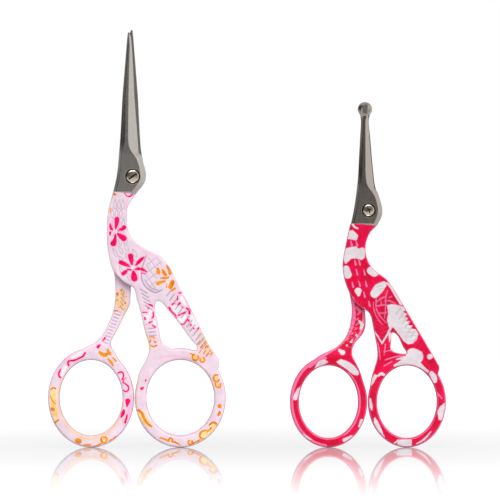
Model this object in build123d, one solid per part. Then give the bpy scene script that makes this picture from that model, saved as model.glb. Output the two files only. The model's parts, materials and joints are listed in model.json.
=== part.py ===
from build123d import *
from math import cos, radians, sin
import os

# A set of two pairs of stork embroidery scissors, closed and standing on their finger rings.
# X runs across the set, Y from front to back and Z up along the blades, and every size is in millimetres.
# Each pair is two forgings that cross at a screw. The front half carries the stork's body, tail, one leg and
# the right finger ring. The back half carries the other leg and the left ring, and its screw turns with it.
# A half is drawn as it is seen on its own outer face, so the back half is turned round before it is placed.

pair_gap = 17.6  # between the finger rings of the two pairs
cut_overrun = 2.0  # how far a cutting shape runs past the metal


class Scissors:
    """Fits and small sizes that both pairs have in common."""

    blade_gap = 0.05  # between the flat inner faces of the halves
    ring_gap = 0.16  # between the finger rings when the scissors are closed
    shank_clearance = 0.05  # screw in the front half, on the radius
    thread_clearance = 0.02  # screw in the back half, on the radius
    head_clearance = 0.3  # screw head in its recess, on the radius
    head_sink = 0.08  # screw head below the front face
    cutting_edge = 0.12  # thickness left at a cutting edge
    slot_depth = 0.32
    ring_round_share = 0.2  # of the ring's band
    heel_share = 0.93  # of the ring's half thickness
    root_share = 0.62  # of the ring's band that a leg runs into, from outside
    root_steps = 6  # along a leg's hidden end in a ring
    collar_share = 0.56  # of the plate's height, from the screw down to where the body begins
    stork_root_turns = 160, 35  # degrees round the ring, where the stork's foot and tail run in
    shank_root_turns = 140, 70
    slots = 1  # across the screw's head
    ball_radius = 0.0  # no ball at the point

    @property
    def inner(self):
        """The flat inner face of a half, from the plane where the halves meet."""
        return self.blade_gap / 2

    @property
    def outer(self):
        """The outer face of a half, and so half of a ring's thickness."""
        return self.inner + self.plate_thickness

    @property
    def ring_height(self):
        return self.bore_height + 2 * self.ring_band

    @property
    def body_height(self):
        """From the top of the finger rings up to the plate."""
        return self.pivot_height - self.collar_share * self.plate_height - self.ring_height


class PointedPair(Scissors):
    """The tall pair, with slender pointed blades and a slotted screw."""

    name = "pointed"
    pivot_height = 74.5  # screw above the lowest point of the rings
    pivot_side = -0.45  # screw beside the plane where the rings meet
    plate_thickness = 1.85
    plate_width = 7.95
    plate_height = 10.45
    rim_thickness = 0.95  # of the plate, outside its ground bevel
    edge_bevel = 1.4  # width of the bevel on the cutting side
    spine_bevel = 0.5  # width of the bevel on the other side
    blade_length = 40.5  # screw to the back blade's point
    blade_width = 6.05
    blade_side = -0.74  # blade's middle line beside the screw, on the front half
    point_step = 0.7  # front blade shorter than the back one
    point_thickness = 0.6
    body_width = 30.6
    left_bore_width = 17.3
    right_bore_width = 18.65
    bore_height = 20.85
    ring_band = 3.2
    heel_height = 9.0  # slope that thickens the legs towards the rings
    head_radius = 1.72
    head_height = 0.6
    shank_radius = 1.0
    slot_width = 0.45
    slot_turn = 35.0

    # Blade from root to point: height, spine, shoulder, ridge and edge
    blade_shares = [
        (0.165, -0.500, -0.400, 0.009, 0.382),
        (0.238, -0.459, -0.227, -0.086, 0.350),
        (0.328, -0.423, -0.227, -0.086, 0.309),
        (0.540, -0.355, -0.220, -0.068, 0.200),
        (0.758, -0.241, -0.150, -0.041, 0.136),
        (0.905, -0.164, -0.095, -0.005, 0.077),
        (0.965, -0.132, -0.090, -0.030, 0.045),
        (1.000, -0.100, -0.090, -0.082, -0.055),
    ]
    # Plate round the screw, from the blade's root down to the handle
    plate_left_shares = [(-0.498, 0.376), (-0.543, 0.061), (-0.630, -0.255), (-0.735, -0.560)]
    plate_right_shares = [
        (0.301, 0.553), (0.412, 0.237), (0.457, 0.061), (0.412, -0.150), (0.253, -0.326), (0.020, -0.560),
    ]
    back_plate_left_shares = [
        (-0.360, 0.376), (-0.395, 0.061), (-0.340, -0.150), (-0.204, -0.313), (0.020, -0.620),
    ]
    back_plate_right_shares = [
        (0.477, 0.553), (0.484, 0.350), (0.512, 0.110), (0.557, -0.124), (0.637, -0.334), (0.715, -0.620),
    ]

    # The stork on the front half, from the plate down the breast and leg, and up the tail and back
    stork_collar_shares = [(-0.666, -0.399), (0.100, -0.471)]  # of the plate, where the handle begins
    breast_shares = [
        (-0.201, 0.974), (-0.222, 0.902), (-0.230, 0.796), (-0.226, 0.670), (-0.207, 0.592),
        (-0.178, 0.520), (-0.114, 0.463), (-0.057, 0.429), (-0.011, 0.412), (0.014, 0.395),
    ]
    leg_shares = [(0.029, 0.353), (0.058, 0.277), (0.086, 0.193), (0.115, 0.099)]
    foot_shares = [
        (-0.676, 0.980), (-0.709, 0.845), (-0.776, 0.724), (-0.856, 0.603), (-0.913, 0.482), (-0.940, 0.300),
    ]
    tail_shares = [(0.833, 0.597), (0.860, 0.690), (0.842, 0.766), (0.740, 0.905)]
    back_shares = [
        (0.596, 0.152), (0.491, 0.305), (0.380, 0.465), (0.326, 0.544), (0.297, 0.573), (0.260, 0.605),
        (0.177, 0.636), (0.091, 0.667), (0.016, 0.708), (-0.035, 0.764), (-0.052, 0.814), (-0.053, 0.904),
        (-0.046, 0.939), (-0.026, 0.967), (0.003, 0.999),
    ]
    # The open triangle between the leg and the tail, its upper end on the body and its lower end at the ring
    gap_shares = [
        (0.242, 0.087), (0.213, 0.205), (0.200, 0.290), (0.214, 0.315), (0.247, 0.312), (0.298, 0.274),
        (0.385, 0.196), (0.476, 0.108), (0.556, 0.033),
    ]
    gap_right_shares = [(0.377, 1.018), (0.347, 0.950)]
    gap_left_shares = [(-0.193, 0.950), (-0.262, 1.018), (-0.376, 1.071), (-0.411, 1.121)]

    # The back half's shank and leg as they are seen from behind
    shank_collar_shares = [(0.042, -0.521), (0.654, -0.521)]
    shank_left_shares = [
        (0.058, 0.945), (0.064, 0.891), (0.062, 0.812), (0.047, 0.758), (0.029, 0.686),
        (0.015, 0.599), (0.011, 0.506), (0.017, 0.404), (0.022, 0.349), (0.029, 0.293), (0.046, 0.261),
        (0.080, 0.215), (0.120, 0.155), (0.160, 0.096),
    ]
    shank_left_foot_shares = [
        (-0.452, 1.095), (-0.470, 1.016), (-0.534, 0.930), (-0.609, 0.811), (-0.690, 0.690),
    ]
    shank_right_foot_shares = [(0.290, 0.930), (0.035, 1.054), (-0.099, 1.119)]
    shank_right_shares = [
        (0.263, 0.099), (0.217, 0.168), (0.183, 0.231), (0.166, 0.277), (0.157, 0.349), (0.160, 0.446),
        (0.177, 0.531), (0.197, 0.592), (0.217, 0.671), (0.220, 0.798), (0.213, 0.904),
    ]


class RoundedPair(Scissors):
    """The short pair, with a safety ball at its point and a cross-slotted screw."""

    name = "rounded"
    pivot_height = 65.2
    pivot_side = 0.3
    plate_thickness = 1.7
    plate_width = 7.8
    plate_height = 9.05
    rim_thickness = 0.9
    edge_bevel = 1.1
    spine_bevel = 0.45
    blade_length = 29.8
    blade_width = 5.2
    blade_side = -1.02
    point_step = 0.0
    point_thickness = 1.1
    body_width = 26.75
    left_bore_width = 16.2
    right_bore_width = 16.4
    bore_height = 19.95
    ring_band = 2.55
    heel_height = 8.0
    head_radius = 1.54
    head_height = 0.55
    shank_radius = 0.9
    slot_width = 0.42
    slots = 2
    slot_turn = 25.0
    ball_radius = 2.0
    ball_facet = 1.3  # half thickness of the ball, to the flat ground on it
    ball_height = 27.8

    blade_shares = [
        (0.207, -0.426, -0.360, 0.111, 0.489),
        (0.301, -0.363, -0.160, 0.037, 0.426),
        (0.469, -0.321, -0.150, 0.032, 0.332),
        (0.596, -0.279, -0.130, 0.032, 0.268),
        (0.742, -0.232, -0.110, 0.032, 0.211),
        (0.860, -0.189, -0.090, 0.032, 0.184),
        (0.940, -0.180, -0.085, 0.030, 0.180),
    ]
    plate_left_shares = [
        (-0.424, 0.618), (-0.466, 0.315), (-0.523, 0.012), (-0.594, -0.291), (-0.670, -0.560),
    ]
    plate_right_shares = [
        (0.318, 0.552), (0.406, 0.318), (0.477, 0.055), (0.459, -0.176), (0.371, -0.345), (0.200, -0.560),
    ]
    back_plate_left_shares = [
        (-0.330, 0.380), (-0.425, 0.090), (-0.405, -0.170), (-0.300, -0.360), (-0.110, -0.560),
    ]
    back_plate_right_shares = [
        (0.400, 0.560), (0.432, 0.315), (0.488, 0.012), (0.559, -0.291), (0.635, -0.560),
    ]

    stork_collar_shares = [(-0.638, -0.396), (0.261, -0.454)]
    breast_shares = [
        (-0.212, 0.966), (-0.232, 0.890), (-0.256, 0.801), (-0.268, 0.731), (-0.265, 0.665),
        (-0.248, 0.599), (-0.220, 0.534), (-0.185, 0.480), (-0.137, 0.423), (-0.082, 0.385), (-0.027, 0.361),
    ]
    leg_shares = [(0.004, 0.341), (0.028, 0.299), (0.046, 0.228), (0.068, 0.144), (0.087, 0.061)]
    foot_shares = [(-0.757, 0.974), (-0.813, 0.789), (-0.893, 0.571), (-0.940, 0.300)]
    tail_shares = [(0.793, 0.609), (0.824, 0.699), (0.834, 0.749), (0.785, 0.851)]
    back_shares = [
        (0.610, 0.074), (0.485, 0.236), (0.364, 0.391), (0.260, 0.525), (0.219, 0.570), (0.178, 0.608),
        (0.124, 0.637), (0.065, 0.674), (0.012, 0.719), (-0.017, 0.767), (-0.032, 0.817),
        (-0.032, 0.862), (-0.017, 0.916), (0.012, 0.966), (0.053, 1.007),
    ]
    gap_shares = [
        (0.391, 0.018), (0.302, 0.025), (0.230, 0.052), (0.232, 0.129), (0.245, 0.188), (0.271, 0.180),
        (0.327, 0.120), (0.388, 0.040),
    ]
    gap_right_shares = []
    gap_left_shares = []

    shank_collar_shares = [(-0.120, -0.475), (0.604, -0.411)]
    shank_left_shares = [
        (0.006, 0.968), (0.037, 0.912), (0.047, 0.858), (0.047, 0.795), (0.043, 0.718),
        (0.039, 0.600), (0.039, 0.483), (0.036, 0.355), (0.029, 0.277), (0.035, 0.223), (0.067, 0.168),
    ]
    shank_left_foot_shares = [
        (-0.693, 1.295), (-0.612, 1.143), (-0.612, 1.024), (-0.693, 0.880), (-0.822, 0.650), (-0.890, 0.430),
    ]
    shank_right_foot_shares = [
        (0.410, 0.870), (0.147, 1.052), (-0.113, 1.152), (-0.274, 1.244), (-0.412, 1.378),
    ]
    shank_right_shares = [
        (0.208, 0.193), (0.184, 0.263), (0.173, 0.325), (0.173, 0.390), (0.186, 0.451), (0.207, 0.529),
        (0.235, 0.593), (0.253, 0.663), (0.255, 0.731), (0.243, 0.802), (0.220, 0.890),
    ]


class Ring:
    """Place and half sizes of one finger ring, from the screw's axis, as seen on its half's outer face."""

    def __init__(self, s, front):
        bore_width = s.right_bore_width if front else s.left_bore_width
        self.bore_half_width = bore_width / 2
        self.bore_half_height = s.bore_height / 2
        self.half_width = self.bore_half_width + s.ring_band
        self.half_height = s.ring_height / 2
        self.root_share = 1 - s.root_share * s.ring_band / self.half_width
        contact = -s.pivot_side if front else s.pivot_side
        self.across = contact + s.ring_gap / 2 + self.half_width
        self.up = self.half_height

    def points(self, shares):
        """Points about the ring's centre, from shares of its half width and half height."""
        return [(self.across + x * self.half_width, self.up + z * self.half_height) for x, z in shares]

    def root(self, turns, steps):
        """Points inside the ring's band where the legs end, between two angles in degrees."""
        start, stop = turns
        angles = [radians(start + (stop - start) * i / steps) for i in range(steps + 1)]
        return self.points([(cos(a) * self.root_share, sin(a) * self.root_share) for a in angles])


def body_points(s, shares):
    """Points of the stork, from shares of its width beside the screw and of its height above the rings."""
    return [(x * s.body_width, s.ring_height + z * s.body_height) for x, z in shares]


def plate_points(s, shares, inset=0):
    """Points of the plate round the screw, moved sideways by the inset."""
    return [(x * s.plate_width + inset, s.pivot_height + z * s.plate_height) for x, z in shares]


def outline(*runs):
    """A face in the XZ plane. Each run of points is one smooth curve, and straight lines join the runs."""
    edges = []
    for run, following in zip(runs, runs[1:] + runs[:1]):
        if len(run) > 1:
            edges.append(Line(*run) if len(run) == 2 else Spline(*run))
        if run[-1] != following[0]:
            edges.append(Line(run[-1], following[0]))
    return Plane.XZ * make_face(edges)


def slab(face, front, back):
    """A face of the XZ plane made solid between two places along Y."""
    return Pos(0, back, 0) * extrude(face, amount=back - front)


def stork_face(s, ring):
    """The front half's stork: neck, body, tail and leg, as far as the middle of the ring's band."""
    left, right = plate_points(s, s.stork_collar_shares)
    leg = body_points(s, s.leg_shares) + ring.points(s.foot_shares)
    face = outline(
        [left] + body_points(s, s.breast_shares) + leg,
        ring.root(s.stork_root_turns, s.root_steps),
        ring.points(s.tail_shares) + body_points(s, s.back_shares) + [right],
    )
    gap = ring.points(s.gap_left_shares) + body_points(s, s.gap_shares) + ring.points(s.gap_right_shares)
    return face - outline(gap)


def shank_face(s, ring):
    """The back half's shank and leg, seen from behind, as far as the middle of the ring's band."""
    left, right = plate_points(s, s.shank_collar_shares)
    return outline(
        [left] + body_points(s, s.shank_left_shares) + ring.points(s.shank_left_foot_shares),
        ring.root(s.shank_root_turns, s.root_steps),
        ring.points(s.shank_right_foot_shares) + body_points(s, s.shank_right_shares) + [right],
    )


def handle(s, face, ring):
    """A painted handle: its outline cut from a side view that is flat inside and thickens at the ring."""
    thick = s.outer * s.heel_share
    heel_low = ring.up + ring.half_height
    heel_top = heel_low + s.heel_height
    top = s.pivot_height + cut_overrun
    low = -cut_overrun
    side_view = Polyline(
        (-s.outer, low), (-s.outer, top), (-s.inner, top),
        (-s.inner, heel_top), (thick, heel_low), (thick, low),
        close=True,
    )
    side = extrude(Plane.YZ * make_face(side_view), amount=2 * s.body_width, both=True)
    return slab(face, -s.outer, thick) & side


def finger_ring(s, ring):
    """An oval finger ring with rounded edges, as thick as both halves together."""
    band = Ellipse(ring.half_width, ring.half_height) - Ellipse(ring.bore_half_width, ring.bore_half_height)
    solid = extrude(Plane.XZ * band, amount=s.outer, both=True)
    solid = fillet(solid.edges().filter_by(GeomType.ELLIPSE), radius=s.ring_round_share * s.ring_band)
    return Pos(ring.across, 0, ring.up) * solid


def blade(s, side, length):
    """A blade from root to point: a flat inner face, a spine, a shoulder, a ridge and a ground edge."""
    sections = []
    first, last = s.blade_shares[0][0], s.blade_shares[-1][0]
    for up, *across in s.blade_shares:
        taper = (up - first) / (last - first)
        thickness = s.plate_thickness + (s.point_thickness - s.plate_thickness) * taper
        spine, shoulder, ridge, edge = [side + share * s.blade_width for share in across]
        rim = s.inner + thickness * s.rim_thickness / s.plate_thickness
        face = s.inner + thickness
        section = Polyline(
            (spine, -s.inner), (spine, -rim), (shoulder, -face), (ridge, -face),
            (edge, -s.inner - s.cutting_edge), (edge, -s.inner),
            close=True,
        )
        sections.append(Pos(0, 0, s.pivot_height + up * length) * make_face(section))
    return loft(sections, ruled=True)


def ball(s, side):
    """Half of the safety ball, flat inside and ground flat outside."""
    centre = Pos(side, 0, s.pivot_height + s.ball_height)
    depth = s.ball_facet - s.inner
    keep = Pos(0, -s.inner - depth / 2, 0) * Box(2 * s.ball_radius, depth, 2 * s.ball_radius)
    return centre * (Sphere(s.ball_radius) & keep)


def plate(s, left_shares, right_shares, side, length):
    """The steel plate round the screw, with a wide bevel on the cutting side and a narrow one opposite."""
    up, *across = s.blade_shares[0]
    spine, shoulder, ridge, edge = [
        (side + share * s.blade_width, s.pivot_height + up * length) for share in across
    ]
    rim = outline([spine] + plate_points(s, left_shares), plate_points(s, right_shares)[::-1], [edge])
    face = outline(
        [shoulder] + plate_points(s, left_shares, s.spine_bevel),
        plate_points(s, right_shares, -s.edge_bevel)[::-1],
        [ridge],
    )
    rim_place = -s.inner - s.rim_thickness
    bevel = loft([Pos(0, rim_place, 0) * rim, Pos(0, -s.outer, 0) * face], ruled=True)
    return slab(rim, rim_place, -s.inner) + bevel


def half(s, front):
    """One forging as it is seen on its outer face, with the screw's axis at X zero."""
    ring = Ring(s, front)
    side = s.blade_side if front else -s.blade_side
    length = s.blade_length - (s.point_step if front else 0)
    left, right = (
        (s.plate_left_shares, s.plate_right_shares)
        if front
        else (s.back_plate_left_shares, s.back_plate_right_shares)
    )
    face = stork_face(s, ring) if front else shank_face(s, ring)
    solid = handle(s, face, ring) + finger_ring(s, ring)
    solid += plate(s, left, right, side, length)
    solid += blade(s, side, length)
    if s.ball_radius:
        solid += ball(s, side)
    return solid


def along_screw(s, radius, front, back):
    """A cylinder on the screw's axis between two places along Y."""
    middle = Pos(0, (front + back) / 2, s.pivot_height)
    return middle * Rot(90, 0, 0) * Cylinder(radius, back - front)


def screw(s):
    """The pivot screw: a slotted head, a bearing shank and an end that is threaded into the back half."""
    head_front = -s.outer + s.head_sink
    head_back = head_front + s.head_height
    solid = along_screw(s, s.head_radius, head_front, head_back)
    solid += along_screw(s, s.shank_radius, head_front, s.outer - s.head_sink)
    for i in range(s.slots):
        slot = Box(2 * s.head_radius + cut_overrun, 2 * s.slot_depth, s.slot_width)
        solid -= Pos(0, head_front, s.pivot_height) * Rot(0, -s.slot_turn + 90 * i, 0) * slot
    return solid


def build(s):
    """The three pieces of one pair, placed with the rings' meeting plane at X zero."""
    recess_floor = -s.outer + s.head_sink + s.head_height + s.shank_clearance
    front = half(s, True)
    front -= along_screw(s, s.head_radius + s.head_clearance, -s.outer - cut_overrun, recess_floor)
    front -= along_screw(s, s.shank_radius + s.shank_clearance, -s.outer, cut_overrun)
    back = Rot(0, 0, 180) * half(s, False)
    back -= along_screw(s, s.shank_radius + s.thread_clearance, -cut_overrun, s.outer + cut_overrun)
    pieces = {"front_half": front, "back_half": back, "pivot_screw": screw(s)}
    return {f"{s.name}_{name}": Pos(s.pivot_side, 0, 0) * piece for name, piece in pieces.items()}


def width(s, front):
    """From the rings' meeting plane to the outside of one ring."""
    return s.ring_gap / 2 + 2 * Ring(s, front).half_width


pointed, rounded = PointedPair(), RoundedPair()
set_width = sum(width(s, front) for s in (pointed, rounded) for front in (True, False)) + pair_gap
places = {
    pointed: width(pointed, False) - set_width / 2,
    rounded: set_width / 2 - width(rounded, True),
}

os.makedirs("parts", exist_ok=True)
for s, across in places.items():
    print(s.name, "rings meet at x", round(across, 3), "with the screw at x", round(across + s.pivot_side, 3))
    for name, piece in build(s).items():
        placed = Pos(across, 0, 0) * piece
        print(name, "solids", len(placed.solids()), "volume", round(placed.volume, 1))
        export_step(placed, f"parts/{name}.step")
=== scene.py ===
# %% [markdown]
# # Two pairs of stork embroidery scissors
# The set is a tall pair with pointed blades and a pink flower print, and a short pair with a ball at its
# point and a crimson print. The solids give the pieces' sizes and places. This script dresses them: it
# grinds the blades, rounds and embosses the coated handles, prints the flowers and turns the two pivot
# screws. Meshes are worked out in millimetres and turned into metres when they are finished.

# %% Load the frame
import json
import math

import bmesh
import bpy
import numpy as np
from mathutils import Matrix, Vector


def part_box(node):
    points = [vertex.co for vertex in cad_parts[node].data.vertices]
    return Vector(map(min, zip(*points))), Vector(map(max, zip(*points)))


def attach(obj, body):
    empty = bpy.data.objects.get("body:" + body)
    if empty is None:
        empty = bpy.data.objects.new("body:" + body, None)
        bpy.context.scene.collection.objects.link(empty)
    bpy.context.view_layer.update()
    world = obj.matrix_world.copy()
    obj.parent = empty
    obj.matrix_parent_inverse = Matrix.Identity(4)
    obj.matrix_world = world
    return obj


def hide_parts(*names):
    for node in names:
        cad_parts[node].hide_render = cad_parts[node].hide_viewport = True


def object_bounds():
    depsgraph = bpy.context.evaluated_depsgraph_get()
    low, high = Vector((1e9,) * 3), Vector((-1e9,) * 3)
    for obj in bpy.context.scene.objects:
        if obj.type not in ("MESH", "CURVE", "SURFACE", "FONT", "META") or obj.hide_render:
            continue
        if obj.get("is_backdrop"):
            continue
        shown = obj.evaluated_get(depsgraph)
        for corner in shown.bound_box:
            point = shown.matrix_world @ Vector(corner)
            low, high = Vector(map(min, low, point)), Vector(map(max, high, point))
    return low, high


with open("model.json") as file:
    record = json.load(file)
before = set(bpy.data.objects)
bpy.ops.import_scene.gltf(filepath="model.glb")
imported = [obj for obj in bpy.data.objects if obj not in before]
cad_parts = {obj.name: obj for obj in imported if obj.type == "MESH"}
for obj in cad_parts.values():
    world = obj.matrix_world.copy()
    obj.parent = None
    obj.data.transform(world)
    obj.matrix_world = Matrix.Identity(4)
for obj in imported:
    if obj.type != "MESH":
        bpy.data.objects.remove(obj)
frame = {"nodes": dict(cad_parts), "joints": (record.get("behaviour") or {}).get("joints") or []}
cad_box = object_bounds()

MM = 0.001
nodes = frame["nodes"]
joints = {joint["name"]: joint for joint in frame["joints"]}
print("nodes", sorted(nodes))

# %% [markdown]
# Places on the handles are given as columns and rows of the reference picture, 500 pixels square, because
# that is how the print was studied. One function turns them into millimetres across and up.

# %% Picture places
mm_per_pixel = 0.2747
screw_column = 132.66  # the pointed pair's screw
base_row = 447.6  # the lowest points of the finger rings
middle_column = screw_column - joints["pointed_pivot"]["pos_m"][0] / MM / mm_per_pixel
print("column of the set's middle", round(middle_column, 2))


def across(column):
    """Millimetres to the right of the set's middle."""
    return (column - middle_column) * mm_per_pixel


def up(row):
    """Millimetres over the surface that the set stands on."""
    return (base_row - row) * mm_per_pixel


# %% [markdown]
# A pair is described once, from the pose of its pivot and the depth of its solids, and then both halves are
# made by the same functions. The front half faces the viewer and the back half faces away, so each is
# worked on as it is seen on its own outer face: u runs to the right of the screw, depth comes out of the
# meeting plane.

# %% The two pairs
class Pair:
    """One pair of scissors: its pose and depth from the solids, and the sizes that only the looks need."""

    def __init__(self, name, coat_line, back_coat_drop, screw_sizes, slots, slot_turn, spine_show, spine_run):
        self.name = name
        self.pivot_x, _, self.pivot_z = [v / MM for v in joints[name + "_pivot"]["pos_m"]]
        self.outer = -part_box(name + "_front_half")[0].y / MM
        screw_low, screw_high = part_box(name + "_pivot_screw")
        self.head_radius = (screw_high.x - screw_low.x) / 2 / MM
        self.coat_line = [(across(c) - self.pivot_x, up(r)) for c, r in coat_line]
        self.back_coat_height = self.pivot_z - back_coat_drop
        self.shank_radius, self.head_height, self.slot_width, self.slot_reach = screw_sizes
        self.slots = slots
        self.slot_turn = slot_turn  # degrees
        self.spine_show = spine_show  # of the back half's spine beside the front half's cutting edge
        self.spine_run = spine_run  # heights over the screw between which it shows


pointed = Pair(
    "pointed", coat_line=[(113.5, 191.6), (135.6, 194.1)], back_coat_drop=5.3,
    screw_sizes=(1.0, 0.6, 0.5, 1.32), slots=1, slot_turn=35, spine_show=0.0, spine_run=(5, 30),
)
rounded = Pair(
    "rounded", coat_line=[(350.5, 223.4), (376.0, 225.4)], back_coat_drop=4.1,
    screw_sizes=(0.9, 0.55, 0.42, 0.8), slots=2, slot_turn=25, spine_show=0.26, spine_run=(4.2, 20.5),
)


class Half:
    """One half of a pair, and the way between the world and how it is seen on its own outer face."""

    def __init__(self, pair, front):
        self.pair = pair
        self.front = front
        self.side = "front" if front else "back"
        self.name = f"{pair.name}_{self.side}"
        self.node = self.name + "_half"
        self.facing = -1 if front else 1
        reach = 4 * pair.outer  # past both sides of the neck
        level = [(-reach, pair.back_coat_height), (reach, pair.back_coat_height)]
        self.coat_line = pair.coat_line if front else level

    def seen(self, points):
        """World millimetres turned into u, depth and height, as seen on this half's outer face."""
        u = -self.facing * (points[:, 0] - self.pair.pivot_x)
        return np.column_stack([u, self.facing * points[:, 1], points[:, 2]])

    def placed(self, points):
        """The way back, from u, depth and height to world millimetres."""
        x = self.pair.pivot_x - self.facing * points[:, 0]
        return np.column_stack([x, self.facing * points[:, 1], points[:, 2]])

    def coat_height(self, u):
        """Height of the coating's upper edge at a place across the neck."""
        (u0, z0), (u1, z1) = self.coat_line
        return z0 + (z1 - z0) * (u - u0) / (u1 - u0)


halves = [Half(pair, front) for pair in (pointed, rounded) for front in (True, False)]
for pair in (pointed, rounded):
    print(pair.name, "pivot", round(pair.pivot_x, 2), round(pair.pivot_z, 2), "outer", round(pair.outer, 3))

# %% [markdown]
# ## Small mesh tools
# Blender's modifiers work on objects, but the result is wanted as a plain mesh, so one helper works the
# modifiers in. Another reads a CAD node as an array of triangles that numpy can measure.

# %% Mesh tools
scene = bpy.context.scene
far_away = 99.0  # stands for a distance that doesn't matter
tiny = 1e-9  # keeps a division from being one by nought


def new_object(name, points, faces):
    """An object in millimetres from arrays of points and faces, with its normals turned outwards."""
    mesh = bpy.data.meshes.new(name)
    mesh.from_pydata([tuple(map(float, p)) for p in points], [], [tuple(map(int, f)) for f in faces])
    work = bmesh.new()
    work.from_mesh(mesh)
    bmesh.ops.recalc_face_normals(work, faces=work.faces)
    work.to_mesh(mesh)
    work.free()
    obj = bpy.data.objects.new(name, mesh)
    scene.collection.objects.link(obj)
    return obj


def apply_modifiers(obj):
    """Replaces an object's mesh with what its modifiers make of it."""
    graph = bpy.context.evaluated_depsgraph_get()
    mesh = bpy.data.meshes.new_from_object(obj.evaluated_get(graph))
    obj.modifiers.clear()
    obj.data = mesh
    return obj


def boolean(obj, tool, operation):
    """Adds the tool to the object or cuts it out of it, and removes the tool."""
    cut = obj.modifiers.new("cut", "BOOLEAN")
    cut.operation = operation
    cut.solver = "EXACT"
    cut.object = tool
    apply_modifiers(obj)
    bpy.data.objects.remove(tool)
    return obj


def vertex_array(mesh):
    """The places of a mesh's vertices, one in each row."""
    flat = np.empty(len(mesh.vertices) * 3)
    mesh.vertices.foreach_get("co", flat)
    return flat.reshape(-1, 3)


def normal_array(mesh):
    """The directions that a mesh's vertices face, one in each row."""
    flat = np.empty(len(mesh.vertices) * 3)
    mesh.vertex_normals.foreach_get("vector", flat)
    return flat.reshape(-1, 3)


def keep(mesh, name, values):
    """Stores a number for each vertex, which a shader reads by that name."""
    layer = mesh.attributes.new(name, "FLOAT", "POINT")
    layer.data.foreach_set("value", np.clip(values, -far_away, far_away).astype(np.float32))


def triangles(node):
    """The node's triangles as an array of corners, in millimetres."""
    mesh = nodes[node].data
    mesh.calc_loop_triangles()
    corners = np.empty(len(mesh.loop_triangles) * 3, dtype=int)
    mesh.loop_triangles.foreach_get("vertices", corners)
    return vertex_array(mesh)[corners].reshape(-1, 3, 3) / MM


def smooth_step(values):
    """Goes gently from 0 to 1 as the values do."""
    values = np.clip(values, 0, 1)
    return values * values * (3 - 2 * values)


def level_cut(tris, height):
    """Points where a level plane cuts a solid."""
    above = tris[:, :, 2] > height
    tris = tris[above.any(1) & ~above.all(1)]
    found = []
    for a, b in ((0, 1), (1, 2), (2, 0)):
        p, q = tris[:, a], tris[:, b]
        hit = (p[:, 2] > height) != (q[:, 2] > height)
        p, q = p[hit], q[hit]
        share = (height - p[:, 2]) / (q[:, 2] - p[:, 2])
        found.append(p + share[:, None] * (q - p))
    return np.concatenate(found)


for half in halves:
    print(half.node, "triangles", len(triangles(half.node)))

# %% [markdown]
# ## The ground blades
# A blade and the plate round the screw are bare steel, forged in one with the handle. Their section is a
# low hexagon: a narrow bevel on the spine, a flat strip, and a wide facet that ends in the cutting edge.
# The section is measured on the solid at many heights and lofted again with eased corners. A remesh would
# be quicker to write, but it would round off the thin cutting edge and the ridge that catches the light.

# %% Measuring a section
same_depth = 0.012  # points this close in depth belong to one face
left_at, right_at, depths_from = 0, 3, 4  # places of these among the seven measures of a section


def blade_section(half, tris, height):
    """Left, shoulder, ridge and right of a section, and how deep its left, face and right are."""
    cut = half.seen(level_cut(tris, height))
    left, right = cut[:, 0].min(), cut[:, 0].max()
    face = cut[:, 1].max()
    flat = cut[cut[:, 1] > face - same_depth, 0]
    left_depth = cut[cut[:, 0] < left + same_depth, 1].max()
    right_depth = cut[cut[:, 0] > right - same_depth, 1].max()
    return [left, flat.min(), flat.max(), right, left_depth, face, right_depth]


sample = blade_section(halves[0], triangles(halves[0].node), pointed.pivot_z + 10)
print("section 10 mm over the screw", [round(measure, 2) for measure in sample])

# %% Flow and corners
row_step = 0.2
bell_width = 3  # reaches out to where a running average ends
ease = 0.07  # radius of the corners, as polishing leaves them
steady = 3  # times as far out lies the point that steadies a corner
near_most, far_most = 0.3, 0.45  # of a side's length, for those points


def flowed(values, reach):
    """A running average along the blade that keeps straight lines straight at both ends."""
    steps = int(bell_width * reach / row_step) + 1
    kernel = np.exp(-0.5 * (np.arange(-steps, steps + 1) * row_step / reach) ** 2)
    before = 2 * values[0] - values[steps:0:-1]
    after = 2 * values[-1] - values[-2:-steps - 2:-1]
    return np.convolve(np.concatenate([before, values, after]), kernel / kernel.sum(), mode="valid")


def eased(corners):
    """A section's points: three of them round each corner, and one more on each side steadies it."""
    points = []
    for last, corner, following in zip(np.roll(corners, 1, 0), corners, np.roll(corners, -1, 0)):
        ways = [(side, np.hypot(*side) + tiny) for side in (last - corner, following - corner)]
        back_near, on_near = (side * min(ease / length, near_most) for side, length in ways)
        back_far, on_far = (side * min(steady * ease / length, far_most) for side, length in ways)
        points += [corner + p for p in (back_far, back_near, (back_near + on_near) / 4, on_near, on_far)]
    return np.array(points)


square = np.array([(0.0, 0.0), (1.0, 0.0), (1.0, 1.0), (0.0, 1.0)])
print("points round an eased square", len(eased(square)))

# %% Rows up the blade
hidden_rows = 12  # of steel under the coating
slope_rows = 4  # the lowest rows in the open, from which the hidden ones take their slope
clear_of_coat = 0.4  # from the coating's edge up to the first section that is measured
tip_gap = 0.05  # from the point down to the last section
ball_up = 27.8  # of the ball's centre above the screw
tuck = 0.04  # of the back half's cutting edge behind the front half's spine
spine_ease = 3.0  # heights over which the shown spine comes and goes


def own_rows(half):
    """Heights up the blade and its section's seven measures at each, with a hidden tail at the lower end."""
    tris = triangles(half.node)
    top = tris[:, :, 2].max()
    if half.pair is rounded:
        top = half.pair.pivot_z + ball_up
    bottom = max(z for _, z in half.coat_line) + clear_of_coat
    heights = np.arange(bottom, top - tip_gap, row_step)
    rows = np.array([blade_section(half, tris, h) for h in heights]).T
    slopes = (rows[:, slope_rows] - rows[:, 0]) / slope_rows
    slopes[depths_from:] = 0
    steps = np.arange(-hidden_rows, 0)
    tail = rows[:, :1] + slopes[:, None] * steps[None]
    return np.concatenate([bottom + row_step * steps, heights]), np.concatenate([tail, rows], axis=1)


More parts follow.
